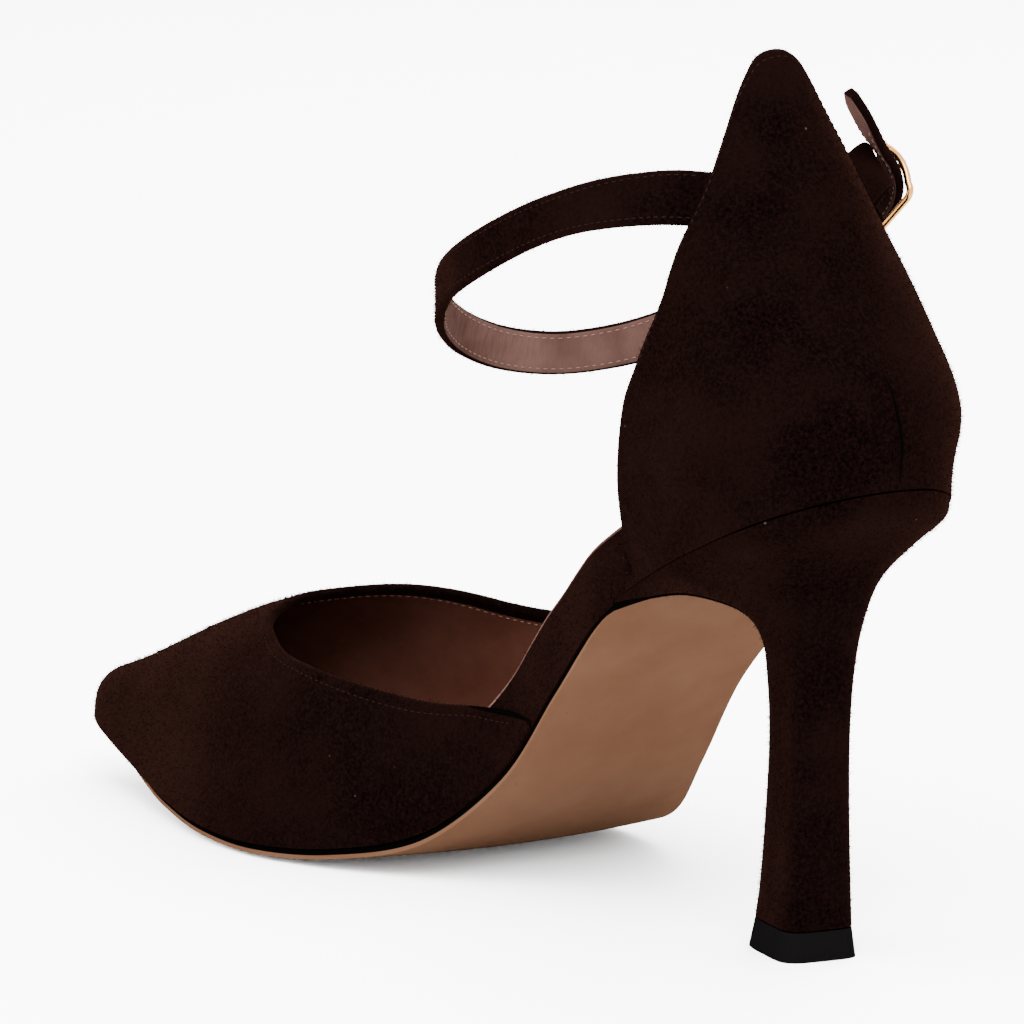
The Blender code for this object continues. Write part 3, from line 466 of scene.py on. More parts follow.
def vamp_ribs():
    """Ribs from the feather line to the top line, from the inner wing's end round the toe."""
    ribs = []
    for place in np.linspace(-1.0, 1.0, 2 * SIDE_RIBS + 1):
        side = 1.0 if place <= 0 else -1.0
        along = abs(place) ** RIB_SPREAD
        rise = "rise_inner" if side > 0 else "rise_outer"
        top_x = place_of(smooth(TOP_LINE, "along", "station", along))
        top_angle = math.radians(smooth(TOP_LINE, "along", rise, along))
        foot_share = 1 - (1 - along) ** FOOT_SPREAD
        wing_x = place_of(TOP_LINE[-1].station)
        foot_x = TOE_TIP - 1e-5 - (TOE_TIP - wing_x) * foot_share
        foot_y = feather_centre(foot_x) + side * feather_half(foot_x)
        top_y = feather_centre(top_x) + side * feather_half(top_x) * (1 - round_share(top_angle, side))
        angle = np.linspace(0.0, 1.0, RIB_STEPS + 1) * top_angle
        inward = round_share(angle, side) / round_share(top_angle, side)
        ribs.append(vamp_point(mix(foot_x, top_x, inward), mix(foot_y, top_y, inward)))
    return np.array(ribs)


def rim_ribs(side):
    """The low side wall that covers the insole's edge between the vamp's wing and the counter."""
    x = np.linspace(BREAST - RIM_BACK, place_of(TOP_LINE[-1].station) + RIM_LAP, RIM_RIBS)
    tall = RIM_HEIGHT * np.sqrt(1 + shank_slope(x) ** 2)
    step = RIM_STEP + RIM_TUCK * ease((BREAST + RIM_TUCK_RUN - x) / RIM_TUCK_RUN)
    y = feather_centre(x) + side * (feather_half(x) - step)
    foot = np.stack([x, y, upper_side(x)], axis=-1)
    ribs = []
    for share in np.linspace(0.0, 1.0, 4):
        lean = np.stack([0 * x, -side * RIM_LEAN * share**2 + 0 * x, tall * share], axis=-1)
        ribs.append(foot + lean)
    ribs = np.array(ribs).transpose(1, 0, 2)
    return ribs if side > 0 else ribs[::-1]


def counter_section(girth, height, side):
    """A place on the back counter's outer face, from the girth and the height over the seat's back."""
    share = height / COUNTER_HEIGHT
    half = COUNTER_WIDTH * smooth(SECTIONS, "height", "half_width", share)
    depth = half * smooth(SECTIONS, "height", "depth", share)
    back = COUNTER_LEAN * smooth(SECTIONS, "height", "lean", share) - SEAT_BACK
    turn = np.minimum(girth, 1.0) * math.pi / 2
    x = back + depth * (1 - np.cos(turn)) + depth * np.maximum(girth - 1.0, 0.0)
    return np.stack([x, side * half * np.sin(turn), HEEL_HEIGHT + height], axis=-1)


def seat_point(girth, side):
    """A place on the seat's outline with the same girth as on the counter's lowest section."""
    depth = SEAT_LENGTH / SEAT_GIRTH
    turn = np.minimum(girth, 1.0) * math.pi / 2
    x = depth * (1 - np.cos(turn)) + depth * np.maximum(girth - 1.0, 0.0) - SEAT_BACK
    y = feather_centre(x) + side * feather_half(x)
    return np.stack([x, y, upper_side(x)], axis=-1)


def counter_rib(foot_girth, top_girth, top_height, side):
    """One rib of the counter, from the seat's outline to a point of its edge."""
    foot = seat_point(foot_girth, side)
    share = np.linspace(0.0, 1.0, COUNTER_STEPS + 1)
    girth = mix(foot_girth, top_girth, share)
    height = mix(foot[2] - HEEL_HEIGHT, top_height, share)
    wall = counter_section(girth, height, side)
    seat = seat_point(girth, side)
    held = ease((height - (foot[2] - HEEL_HEIGHT)) / SEAT_HOLD)[:, None]
    plan = mix(seat[:, :2], wall[:, :2], held)
    return np.column_stack([plan, wall[:, 2]])


def counter_ribs():
    """Ribs of the counter from its outer front corner round the back to the inner one."""
    ribs = []
    for place in np.linspace(-1.0, 1.0, 2 * COUNTER_RIBS + 1):
        side = -1.0 if place < 0 else 1.0
        along = abs(place)
        top_girth = smooth(EDGE, "along", "girth", along)
        top_height = smooth(EDGE, "along", "height", along) * COUNTER_HEIGHT
        foot_girth = EDGE[-1].girth * along
        if along == 1.0:
            top_height = seat_point(foot_girth, side)[2] - HEEL_HEIGHT + CORNER_RISE
        ribs.append(counter_rib(foot_girth, top_girth, top_height, side))
    return np.array(ribs)


def breast_line(across):
    """How far forward the heel's seat reaches, from the middle (0) to a side (1 or -1)."""
    return BREAST - BREAST_HOLLOW * (1 - np.asarray(across) ** 2)


def superellipse(turn, fullness):
    """Places round a superellipse, from its back (along -1) round the inner side (across 1) and home."""
    power = 2 / fullness
    along = -np.sign(np.cos(turn)) * np.abs(np.cos(turn)) ** power
    return along, np.sign(np.sin(turn)) * np.abs(np.sin(turn)) ** power


def heel_ring(ring, turn):
    """One ring of the heel. Turn runs from the back round the inner side to the front and home."""
    along, across = superellipse(turn, ring.fullness)
    back, front = ring.back * SEAT_LENGTH, ring.front * SEAT_LENGTH
    widest = mix(back, front, ring.widest)
    x = np.where(along < 0, widest + along * (widest - back), widest + along * (front - widest))
    x = x - np.maximum(along, 0.0) * ring.hollow * BREAST_HOLLOW * (1 - across**2)
    y = ring.half_width * COUNTER_WIDTH * across * (1 - ring.taper * (x - back) / (front - back))
    swing = ring.turn * HEEL_TURN
    x, y = x * math.cos(swing) - y * math.sin(swing), x * math.sin(swing) + y * math.cos(swing)
    slope = (ring.front_height - ring.back_height) * HEEL_HEIGHT / (front - back)
    z = ring.back_height * HEEL_HEIGHT + slope * (x - back)
    return np.stack([x, y, z], axis=-1)


def seat_ring(turn):
    """The seat's outline under the feather line: round at the back, square at the breast."""
    square = math.sqrt(2.0)
    along, across = superellipse(turn, SEAT_SQUARE)
    across = np.where(along > 0, np.clip(square * np.sin(turn), -1.0, 1.0), across)
    along = np.where(along > 0, np.clip(-square * np.cos(turn), 0.0, 1.0), along)
    middle = -SEAT_BACK + 0.5 * SEAT_LENGTH
    x = np.where(along < 0, middle * (1 + along) - along * -SEAT_BACK, middle)
    x = np.where(along >= 0, mix(middle, breast_line(across), along), x)
    reach = np.maximum(np.abs(across), 1e-9)
    edge = feather_half(np.maximum(x, -SEAT_BACK + 1e-6)) - SOLE_INSET * 0.4
    y = feather_centre(x) + np.sign(across) * edge * np.where(along < 0, 1.0, reach)
    return np.stack([x, y, under_side(x)], axis=-1)


def heel_rings(turn):
    """All rings of the heel. The upper ones pass over into the seat's outline."""
    seat = seat_ring(turn)
    rings = []
    for ring in RINGS:
        shape = heel_ring(ring, turn)
        shape = mix(shape, np.column_stack([seat[:, :2], shape[:, 2]]), ring.seat)
        shape[:, 2] = np.minimum(shape[:, 2], under_side(shape[:, 0]) - RING_DROP)
        rings.append(shape)
    return rings


def ring_between(rings, height):
    """The ring at a height between the first two, for the joint between the heel and its tip."""
    low, high = rings[0], rings[1]
    return mix(low, high, height / high[0, 2])


def inner_face(ribs, wall, upright):
    """The grid of a wall's inner face. Upright is 1 for ribs that stand straight on the feather line."""
    around = np.gradient(ribs, axis=0)
    normal = np.cross(around, np.gradient(ribs, axis=1))
    normal[:, 0, 2] = 0.0
    level = np.stack([around[:, :1, 1], -around[:, :1, 0], 0 * around[:, :1, 0]], axis=-1)
    return ribs + wall * unit(mix(unit(normal), unit(level), upright[:, None, None]))


def insole_top(x):
    """The height of the insole's edges."""
    waist = np.exp(-(((station(x) - WAIST_STATION) / WAIST_SPREAD) ** 2))
    return upper_side(x) + INSOLE_THICKNESS + INSOLE_WAIST_EXTRA * waist


def edge_girth_at(height):
    """The girth of the counter's edge at a height over the seat's back, above the seat."""
    along = np.linspace(0.0, 0.75, 200)
    heights = smooth(EDGE, "along", "height", along) * COUNTER_HEIGHT
    return float(np.interp(-height, -heights, smooth(EDGE, "along", "girth", along)))


def wall_directions(girth, height, side):
    """A place on the counter's outer face, with the unit directions up along the wall and inwards."""
    at = counter_section(girth, height, side)
    ahead = counter_section(girth + 0.01, height, side) - at
    above = counter_section(girth, height + 0.0005, side) - at
    inward = np.cross(ahead, above) * side
    return at, above / np.linalg.norm(above), inward / np.linalg.norm(inward)


def smooth_path(points, count):
    """Evenly spaced places on a smooth curve through the given points."""
    points = np.asarray(points, float)
    chord = run(points)
    knots = table("at x y z", *np.column_stack([chord, points]))
    fine = np.linspace(0.0, chord[-1], 600)
    curve = np.stack([smooth(knots, "at", axis, fine) for axis in "xyz"], axis=-1)
    length = run(curve)
    even = np.linspace(0.0, length[-1], count)
    return np.stack([np.interp(even, length, curve[:, k]) for k in range(3)], axis=-1)


def buckle_axes():
    """The buckle's middle, and its directions along the strap, across it and towards the ankle."""
    along = np.array([-math.cos(BUCKLE_PITCH) * math.cos(BUCKLE_YAW), 0.0, 0.0])
    along[1] = -math.cos(BUCKLE_PITCH) * math.sin(BUCKLE_YAW)
    along[2] = math.sin(BUCKLE_PITCH)
    across = np.array([math.sin(BUCKLE_PITCH), 0.0, math.cos(BUCKLE_PITCH)])
    across -= along * across.dot(along)
    across /= np.linalg.norm(across)
    inward = np.cross(along, across)
    edge = counter_section(edge_girth_at(STRAP_HEIGHT), STRAP_HEIGHT, -1.0)
    middle = edge + np.array([BUCKLE_AHEAD, -BUCKLE_ASIDE, -BUCKLE_DROP])
    return middle, along, across, inward


def tucked_points(side, thickness, height):
    """The route of a strap's end behind the counter's wall to just past its edge, and the wall's rise."""
    girth = edge_girth_at(height)
    depth = COUNTER_WALL + 3 * CLEARANCE + thickness / 2
    half = COUNTER_WIDTH * float(smooth(SECTIONS, "height", "half_width", height / COUNTER_HEIGHT))
    per_length = 2 / (math.pi * half)
    points = []
    for back in np.linspace(STRAP_TUCK, -STRAP_LEAD, 5):
        at, above, inward = wall_directions(girth - back * per_length, height, side)
        points.append(at + depth * inward)
    return points, above


def stretch_ease(share, start, length):
    """A soft step over one stretch of a strap, for each place along it."""
    return ease((share - start) / length)[:, None]


def strap_route():
    """The strap's middle line and its width direction: from the counter round the loop to the tail."""
    start = counter_section(edge_girth_at(STRAP_HEIGHT), STRAP_HEIGHT, 1.0)
    points, wall_rise = tucked_points(1.0, STRAP_THICKNESS, STRAP_HEIGHT + STRAP_LIFT)
    for row in LOOP:
        x = start[0] + row.forward * STRAP_REACH
        z = start[2] - row.drop * STRAP_DROOP
        points.append(np.array([x, row.aside * STRAP_SPREAD, z]))
    middle, along, across, inward = buckle_axes()
    # It lies outside the short strap at the hinge bar, and inside the frame's outer bar.
    over = BUCKLE_WIRE / 2 + STUB_THICKNESS + 2.6 * CLEARANCE + STRAP_THICKNESS / 2
    under = BUCKLE_WIRE / 2 + 2.5 * CLEARANCE + STRAP_THICKNESS / 2
    for share, depth in ((-0.62, -over), (-0.40, -over), (0.52, under)):
        points.append(middle + share * BUCKLE_LENGTH * along + depth * inward)
    last = points[-1]
    for share, lift in ((0.33, 0.0006), (0.67, 0.0004), (1.0, 0.0)):
        way = np.array([-0.14 - 0.05 * lift, 0.60, 0.79]) * TAIL_LENGTH * share
        points.append(last + way + lift * inward)
    path = smooth_path(points, STRAP_STATIONS)
    share = np.linspace(0.0, 1.0, STRAP_STATIONS)
    direction = mix(wall_rise, np.array([0.0, 0.0, 1.0]), stretch_ease(share, *FREE_STRETCH))
    direction = mix(direction, across, stretch_ease(share, *BUCKLE_STRETCH))
    return path, mix(direction, np.array(TAIL_ACROSS), stretch_ease(share, *TAIL_STRETCH))


def wire_rings(path, radius, closed, sides):
    """Rings of a round wire along a path."""
    if closed:
        ahead = np.roll(path, -1, axis=0) - np.roll(path, 1, axis=0)
    else:
        ahead = np.gradient(path, axis=0)
    ahead = unit(ahead)
    side = unit(np.cross(ahead, buckle_axes()[3]))
    turn = np.linspace(0.0, 2 * math.pi, sides, endpoint=False)
    return np.array([
        at + radius * (np.outer(np.cos(turn), s) + np.outer(np.sin(turn), np.cross(s, a)))
        for at, s, a in zip(path, side, ahead)
    ])


def sole_rows():
    """The sole's upper and lower faces as grids, from the breast to the toe."""
    share = np.linspace(-1.0, 1.0, SOLE_COLUMNS)
    start = breast_line(share) + CLEARANCE
    end = TOE_TIP - SOLE_INSET - TOE_INSET - 5e-5
    high, low = [], []
    for t in np.linspace(0.0, 1.0, SOLE_ROWS):
        way = mix(t, 1 - (1 - t) ** 2, SOLE_CROWDING)
        x = mix(start, end, way)
        inset = SOLE_INSET + TOE_INSET * ease((station(x) - TOE_INSET_START) / TOE_INSET_RUN)
        half = np.maximum(feather_half(x + inset * way) - inset, 2e-4)
        y = feather_centre(x) + share * half
        top = under_side(x)
        high.append(np.stack([x, y, top], axis=-1))
        skived = mix(SKIVE, 1.0, ease((x[0] - start[0]) / SKIVE_RUN))
        bottom = np.maximum(top - (SOLE_EDGE + SOLE_CROWN * (1 - share**2)) * skived, 0.0)
        near = np.clip(1 - (x[0] - start[0]) / BREAST_CORNER, 0.0, 1.0)
        half = half - BREAST_CORNER * (1 - math.sqrt(1 - near**2)) * SOLE_TUCK
        low.append(np.stack([x, feather_centre(x) + share * half, bottom], axis=-1))
    return np.array(high), np.array(low)


def insole_rows():
    """The insole's upper and lower faces as grids."""
    inset = COUNTER_WALL + CLEARANCE
    end = TOE_TIP - VAMP_WALL - INSOLE_SHORT
    share = np.linspace(-1.0, 1.0, INSOLE_COLUMNS)
    high, low = [], []
    for t in np.linspace(0.0, 1.0, INSOLE_ROWS):
        way = 0.5 - 0.5 * math.cos(math.pi * t)
        x = mix(-SEAT_BACK + inset + 5e-5, end, mix(t, way, INSOLE_CROWDING))
        outer = feather_half(mix(x, x - inset, 1 - t) + (inset + 0.001) * t) - inset
        half = max(float(outer), 2e-4)
        y = feather_centre(x) + share * half
        high.append(np.stack([x + 0 * share, y, insole_top(x) - INSOLE_DISH * (1 - share**2)], axis=-1))
        low.append(np.stack([x + 0 * share, y, upper_side(x) + 0 * share], axis=-1))
    return np.array(high), np.array(low)


def stub_route():
    """The short strap's middle line round the hinge bar, and its width direction."""
    middle, along, across, inward = buckle_axes()
    hinge = middle - 0.5 * BUCKLE_LENGTH * along
    wrap = BUCKLE_WIRE / 2 + CLEARANCE + STUB_THICKNESS / 2
    points, wall_rise = tucked_points(-1.0, STUB_THICKNESS, STRAP_HEIGHT)
    points = points[:3]
    for share, depth in STUB_STOPS:
        points.append(middle + share * BUCKLE_LENGTH * along + depth * inward)
    for turn in np.linspace(0.5, -0.5, 7) * math.pi:
        points.append(hinge - wrap * (math.cos(turn) * along - math.sin(turn) * inward))
    points.append(hinge + STUB_RETURN * along - wrap * inward)
    path = smooth_path(points, STUB_STATIONS)
    share = np.linspace(0.0, 1.0, STUB_STATIONS)
    return path, mix(wall_rise, across, stretch_ease(share, *STUB_STRETCH))


def buckle_paths():
    """The middle lines of the buckle's frame and of its prong."""
    middle, along, across, inward = buckle_axes()
    corners = []
    for sx, sy in ((-1, -1), (1, -1), (1, 1), (-1, 1)):
        centre_a = sx * (BUCKLE_LENGTH / 2 - BUCKLE_CORNER)
        centre_b = sy * (BUCKLE_WIDTH / 2 - BUCKLE_CORNER)
        first = {(-1, -1): 1.0, (1, -1): 1.5, (1, 1): 0.0, (-1, 1): 0.5}[(sx, sy)]
        for turn in np.linspace(first, first + 0.5, 9) * math.pi:
            corners.append((centre_a + BUCKLE_CORNER * math.cos(turn),
                            centre_b + BUCKLE_CORNER * math.sin(turn)))
        if (sx, sy) == (1, -1):
            for b in np.linspace(-0.3, 0.3, 9) * BUCKLE_WIDTH:
                bow = 1 - (b / (BUCKLE_WIDTH / 2 - BUCKLE_CORNER)) ** 2
                corners.append((BUCKLE_LENGTH / 2 + BUCKLE_ARCH * bow, b))
    frame_path = np.array([middle + a * along + b * across for a, b in corners])
    start = middle - 0.5 * BUCKLE_LENGTH * along
    end = middle + (0.5 * BUCKLE_LENGTH + BUCKLE_ARCH) * along
    rest = -(BUCKLE_WIRE + PRONG_WIRE) / 2 + 0.0002
    way = np.linspace(0.0, 1.0, 8)
    return frame_path, mix(start, end, way[:, None]) + rest * ease(way / 0.75)[:, None] * inward


def refine(grid, times, closed=False):
    """A smooth curve through the rows of a grid, with times as many steps."""
    grid = np.asarray(grid, float)
    if closed:
        rows = np.concatenate([grid[-1:], grid, grid[:2]])
    else:
        rows = np.concatenate([2 * grid[:1] - grid[1:2], grid, 2 * grid[-1:] - grid[-2:-1]])
    made = []
    for i in range(1, len(rows) - 2):
        a, b, c, d = rows[i - 1:i + 3]
        for t in np.arange(times) / times:
            made.append(0.5 * (2 * b + (c - a) * t + (2 * a - 5 * b + 4 * c - d) * t**2
                               + (3 * b - a - 3 * c + d) * t**3))
    if not closed:
        made.append(grid[-1])
    return np.array(made)


def refine_both(grid, times):
    """A grid refined along its rows and its columns."""
    fine = refine(grid, times)
    return refine(fine.transpose(1, 0, 2), times).transpose(1, 0, 2)


def from_top(grid, near, rows):
    """Each rib drawn anew: places at the near distances from its top, and the rest spread to its foot."""
    made = []
    for rib in grid:
        down = rib[::-1]
        way = run(down)
        near_way = np.array(near) * min(1.0, 0.6 * way[-1] / near[-1])
        at = np.concatenate([near_way, np.linspace(near_way[-1], way[-1], rows + 1)[1:]])
        made.append(np.stack([np.interp(at, way, down[:, k]) for k in range(3)], axis=-1)[::-1])
    return np.array(made)


def placed(name, data):
    """A new object of the scene."""
    obj = bpy.data.objects.new(name, data)
    bpy.context.scene.collection.objects.link(obj)
    return obj


class Sheet:
    """Collects quads with their material and their place along and across, then makes one object."""

    def __init__(self):
        self.points, self.faces, self.slots, self.places = [], [], [], []

    def grid(self, grid, slot, closed=False, places=None):
        """Adds a grid of points. Slot is a number, or a function of a row number."""
        rows, columns = grid.shape[:2]
        first = sum(len(p) for p in self.points)
        self.points.append(grid.reshape(-1, 3))
        if places is None:
            places = np.zeros((rows, columns, 2))
        self.places.append(places.reshape(-1, 2))
        for i in range(rows if closed else rows - 1):
            n = (i + 1) % rows
            for j in range(columns - 1):
                self.faces.append((first + i * columns + j, first + n * columns + j,
                                   first + n * columns + j + 1, first + i * columns + j + 1))
                self.slots.append(slot(j) if callable(slot) else slot)

    def tube(self, rings, slot, closed=False):
        """Adds the skin over rings of points. Closed joins the last ring to the first."""
        self.grid(np.concatenate([rings, rings[:, :1]], axis=1), slot, closed)

    def cap(self, ring, slot):
        first = sum(len(p) for p in self.points)
        self.points.append(np.asarray(ring))
        self.places.append(np.zeros((len(ring), 2)))
        self.faces.append(tuple(range(first, first + len(ring))))
        self.slots.append(slot)

    def make(self, name, materials, sharp=45.0):
        """The finished object. Edges sharper than an angle in degrees stay sharp."""
        mesh = bpy.data.meshes.new(name)
        points = np.concatenate(self.points)
        mesh.from_pydata(points.tolist(), [], self.faces)
        for entry in materials:
            mesh.materials.append(entry)
        mesh.polygons.foreach_set("material_index", self.slots)
        places = np.concatenate(self.places)
        layer = mesh.uv_layers.new(name="place")
        corners = np.zeros(len(mesh.loops), int)
        mesh.loops.foreach_get("vertex_index", corners)
        layer.data.foreach_set("uv", places[corners].ravel())
        work = bmesh.new()
        work.from_mesh(mesh)
        bmesh.ops.remove_doubles(work, verts=work.verts, dist=2e-6)
        bmesh.ops.dissolve_degenerate(work, edges=work.edges, dist=1e-7)
        bmesh.ops.recalc_face_normals(work, faces=work.faces)
        work.to_mesh(mesh)
        work.free()
        mesh.shade_smooth()
        mesh.set_sharp_from_angle(angle=math.radians(sharp))
        return placed(name, mesh)


def new_material(name):
    """A material's node tree and its shader."""
    made = bpy.data.materials.new(name)
    made.use_nodes = True
    return made.node_tree, made.node_tree.nodes["Principled BSDF"]


def fill(node, inputs):
    for key, value in inputs.items():
        node.inputs[key].default_value = value


def add(tree, kind, inputs=None, **values):
    """A new node, with its inputs' values and its own settings."""
    node = tree.nodes.new(kind)
    for key, value in values.items():
        setattr(node, key, value)
    fill(node, inputs or {})
    return node


def noise(tree, source, scale, detail, rough):
    node = add(tree, "ShaderNodeTexNoise", {"Scale": scale, "Detail": detail, "Roughness": rough})
    tree.links.new(source, node.inputs["Vector"])
    return node.outputs["Fac"]


def ramp(tree, source, low, high, start=0.35, stop=0.65):
    """A value that runs from low to high while the source runs from start to stop."""
    node = add(tree, "ShaderNodeMapRange", {
        "From Min": start, "From Max": stop, "To Min": low, "To Max": high})
    tree.links.new(source, node.inputs["Value"])
    return node.outputs["Result"]


def mixed(tree, factor, first, second):
    """The mix of two colours, each a tuple or another node's output."""
    node = add(tree, "ShaderNodeMix", data_type="RGBA")
    tree.links.new(factor, node.inputs[0])
    for socket, value in ((node.inputs[6], first), (node.inputs[7], second)):
        if isinstance(value, tuple):
            socket.default_value = (*value, 1.0)
        else:
            tree.links.new(value, socket)
    return node.outputs[2]


def specks(tree, here, scale, strength, inner, outer):
    """A factor that is strength in small round spots, and 0 from outer on, in shares of their spacing."""
    cells = add(tree, "ShaderNodeTexVoronoi", {"Scale": scale})
    tree.links.new(here, cells.inputs["Vector"])
    return ramp(tree, cells.outputs["Distance"], strength, 0.0, inner, outer)


def bump(tree, shader, height, strength, distance):
    node = add(tree, "ShaderNodeBump", {"Strength": strength, "Distance": distance})
    tree.links.new(height, node.inputs["Height"])
    tree.links.new(node.outputs["Normal"], shader.inputs["Normal"])


def suede(settings):
    """Dark suede: a short nap that catches light at grazing angles, brushed patches and a little lint."""
    tree, shader = new_material("brushed_suede")
    here = add(tree, "ShaderNodeTexCoord").outputs["Object"]
    patches = ramp(tree, noise(tree, here, 55.0, 4.0, 0.55), 0.0, 1.0, 0.40, 0.72)
    dark, light = tuple(settings.suede_dark), tuple(settings.suede_light)
    color = mixed(tree, patches, dark, light)
    grain = ramp(tree, noise(tree, here, 1500.0, 2.0, 0.7), 0.0, 1.0, 0.35, 0.75)
    color = mixed(tree, grain, color, tuple(1.2 * c for c in light))
    color = mixed(tree, specks(tree, here, 95.0, 0.55, 0.010, 0.030), color, LINT)
    tree.links.new(color, shader.inputs["Base Color"])
    fill(shader, {
        "Roughness": 0.95, "Specular IOR Level": 0.0, "Sheen Weight": settings.sheen,
        "Sheen Roughness": 0.45, "Sheen Tint": SHEEN_TINT})
    bump(tree, shader, noise(tree, here, 2600.0, 3.0, 0.7), 0.55, 0.00012)


def smooth_leather(name, base, worn, wrinkles=None):
    """Smooth leather with soft clouds of colour and fine pores, or with cross creases, per metre."""
    tree, shader = new_material(name)
    coordinates = add(tree, "ShaderNodeTexCoord")
    here = coordinates.outputs["Object"]
    clouds = ramp(tree, noise(tree, here, 60.0, 5.0, 0.6), 0.0, 1.0, 0.35, 0.7)
    tree.links.new(mixed(tree, clouds, base, worn), shader.inputs["Base Color"])
    fill(shader, {"Roughness": 0.6, "Specular IOR Level": 0.0})
    if wrinkles:
        stretch = add(tree, "ShaderNodeMapping", {"Scale": (wrinkles, wrinkles * 0.22, 1.0)})
        tree.links.new(coordinates.outputs["UV"], stretch.inputs["Vector"])
        bump(tree, shader, noise(tree, stretch.outputs["Vector"], 1.0, 2.0, 0.5), 0.9, 0.0005)
    else:
        bump(tree, shader, noise(tree, here, 1400.0, 2.0, 0.5), 0.25, 0.0001)


def sole_finish(name, base, worn):
    """Tan sole leather: mottled, with dark specks and faint scuffs."""
    tree, shader = new_material(name)
    here = add(tree, "ShaderNodeTexCoord").outputs["Object"]
    clouds = ramp(tree, noise(tree, here, 45.0, 6.0, 0.65), 0.0, 1.0, 0.32, 0.72)
    color = mixed(tree, clouds, base, worn)
    color = mixed(tree, specks(tree, here, 150.0, 0.45, 0.02, 0.05), color, SOLE_SPECKS)
    tree.links.new(color, shader.inputs["Base Color"])
    gloss = ramp(tree, noise(tree, here, 90.0, 4.0, 0.6), 0.45, 0.60)
    tree.links.new(gloss, shader.inputs["Roughness"])
    fill(shader, {"Specular IOR Level": 0.0})
    bump(tree, shader, noise(tree, here, 700.0, 3.0, 0.6), 0.2, 0.00015)


def plain(name, color, roughness, metallic=0.0, specular=0.0):
    fill(new_material(name)[1], {
        "Base Color": (*color, 1.0), "Roughness": roughness, "Metallic": metallic,
        "Specular IOR Level": specular})


def walls():
    """Outer and inner grids of the vamp, both rims and the counter."""
    wing = ease((np.abs(np.linspace(-1.0, 1.0, 2 * SIDE_RIBS + 1)) - WING_UPRIGHT) / WING_TURN)
    near = np.array([0.0, 0.5, 1.0, 1.5, 2.0]) * FOLD / 1.5
    made = {}
    for name, ribs, wall, upright, rows in (
        ("vamp", vamp_ribs(), VAMP_WALL, wing, WALL_ROWS),
        ("rim_inner", rim_ribs(1.0), RIM_WALL, 0.0, RIM_ROWS),
        ("rim_outer", rim_ribs(-1.0), RIM_WALL, 0.0, RIM_ROWS),
        ("counter", counter_ribs(), COUNTER_WALL, 0.0, WALL_ROWS),
    ):
        inner = inner_face(ribs, wall, upright + np.zeros(len(ribs)))
        outer = from_top(refine_both(ribs, FINE), near, rows)
        made[name] = (outer, from_top(refine_both(inner, FINE), near, rows), wall)
    return made


def wall_piece(sheet, outer, inner, wall, edge_slot, fold_rows):
    """One wall: suede outside, lining inside below the fold, and a rounded edge between them."""
    up = outer[:, -1] - outer[:, -2]
    up /= np.maximum(np.linalg.norm(up, axis=1), 1e-9)[:, None]
    edge = []
    for t in np.linspace(0.0, 1.0, EDGE_ROWS + 2):
        round_up = up * EDGE_ROUND * wall * math.sin(math.pi * t)
        edge.append(mix(outer[:, -1], inner[:, -1], t) + round_up)
    edge = np.array(edge).transpose(1, 0, 2)
    reach = np.linalg.norm(outer[:, -1] - outer[:, -2], axis=1)[:, None]
    lip = mix(outer[:, -1], outer[:, -2], np.minimum(LIP / np.maximum(reach, 1e-6), 0.9))
    faced = np.insert(outer, -1, lip, axis=1)
    last = faced.shape[1] - 2
    sheet.grid(faced, lambda j: edge_slot if j == last else SUEDE)
    sheet.grid(edge, edge_slot)
    sheet.grid(inner[:, ::-1], lambda j: SUEDE if j < fold_rows else LINING)
    sheet.grid(np.stack([inner[:, 0], outer[:, 0]], axis=1), SUEDE)
    for end in (0, -1):
        sheet.grid(np.stack([outer[end], inner[end]], axis=0), SUEDE)


def node_group(name, *inputs):
    """A new geometry node group with a number for each named input, and those inputs' identifiers."""
    group = bpy.data.node_groups.new(name, "GeometryNodeTree")
    face = group.interface
    face.new_socket("Geometry", in_out="INPUT", socket_type="NodeSocketGeometry")
    sockets = [face.new_socket(entry, in_out="INPUT", socket_type="NodeSocketFloat") for entry in inputs]
    face.new_socket("Geometry", in_out="OUTPUT", socket_type="NodeSocketGeometry")
    return group, [socket.identifier for socket in sockets]


def scattered(group, points, shape, rotation, scale, material):
    """Ends a node group: the shape stands on every point, is made real and gets its material."""
    place = add(group, "GeometryNodeInstanceOnPoints")
    realize = add(group, "GeometryNodeRealizeInstances")
    paint = add(group, "GeometryNodeSetMaterial", {"Material": material})
    end = add(group, "NodeGroupOutput")
    link = group.links.new
    link(points, place.inputs["Points"])
    link(shape, place.inputs["Instance"])
    link(rotation, place.inputs["Rotation"])
    link(scale, place.inputs["Scale"])
    link(place.outputs[0], realize.inputs[0])
    link(realize.outputs[0], paint.inputs["Geometry"])
    link(paint.outputs[0], end.inputs[0])


def grown(source, name, group, values):
    """The mesh piece that a node group makes of an object. The object and the group are removed."""
    modifier = source.modifiers.new(group.name, "NODES")
    modifier.node_group = group
    for identifier, value in values.items():
        modifier[identifier] = value
    bpy.context.view_layer.update()
    graph = bpy.context.evaluated_depsgraph_get()
    mesh = bpy.data.meshes.new_from_object(source.evaluated_get(graph), depsgraph=graph)
    mesh.name = name
    bpy.data.objects.remove(source)
    bpy.data.node_groups.remove(group)
    return placed(name, mesh)


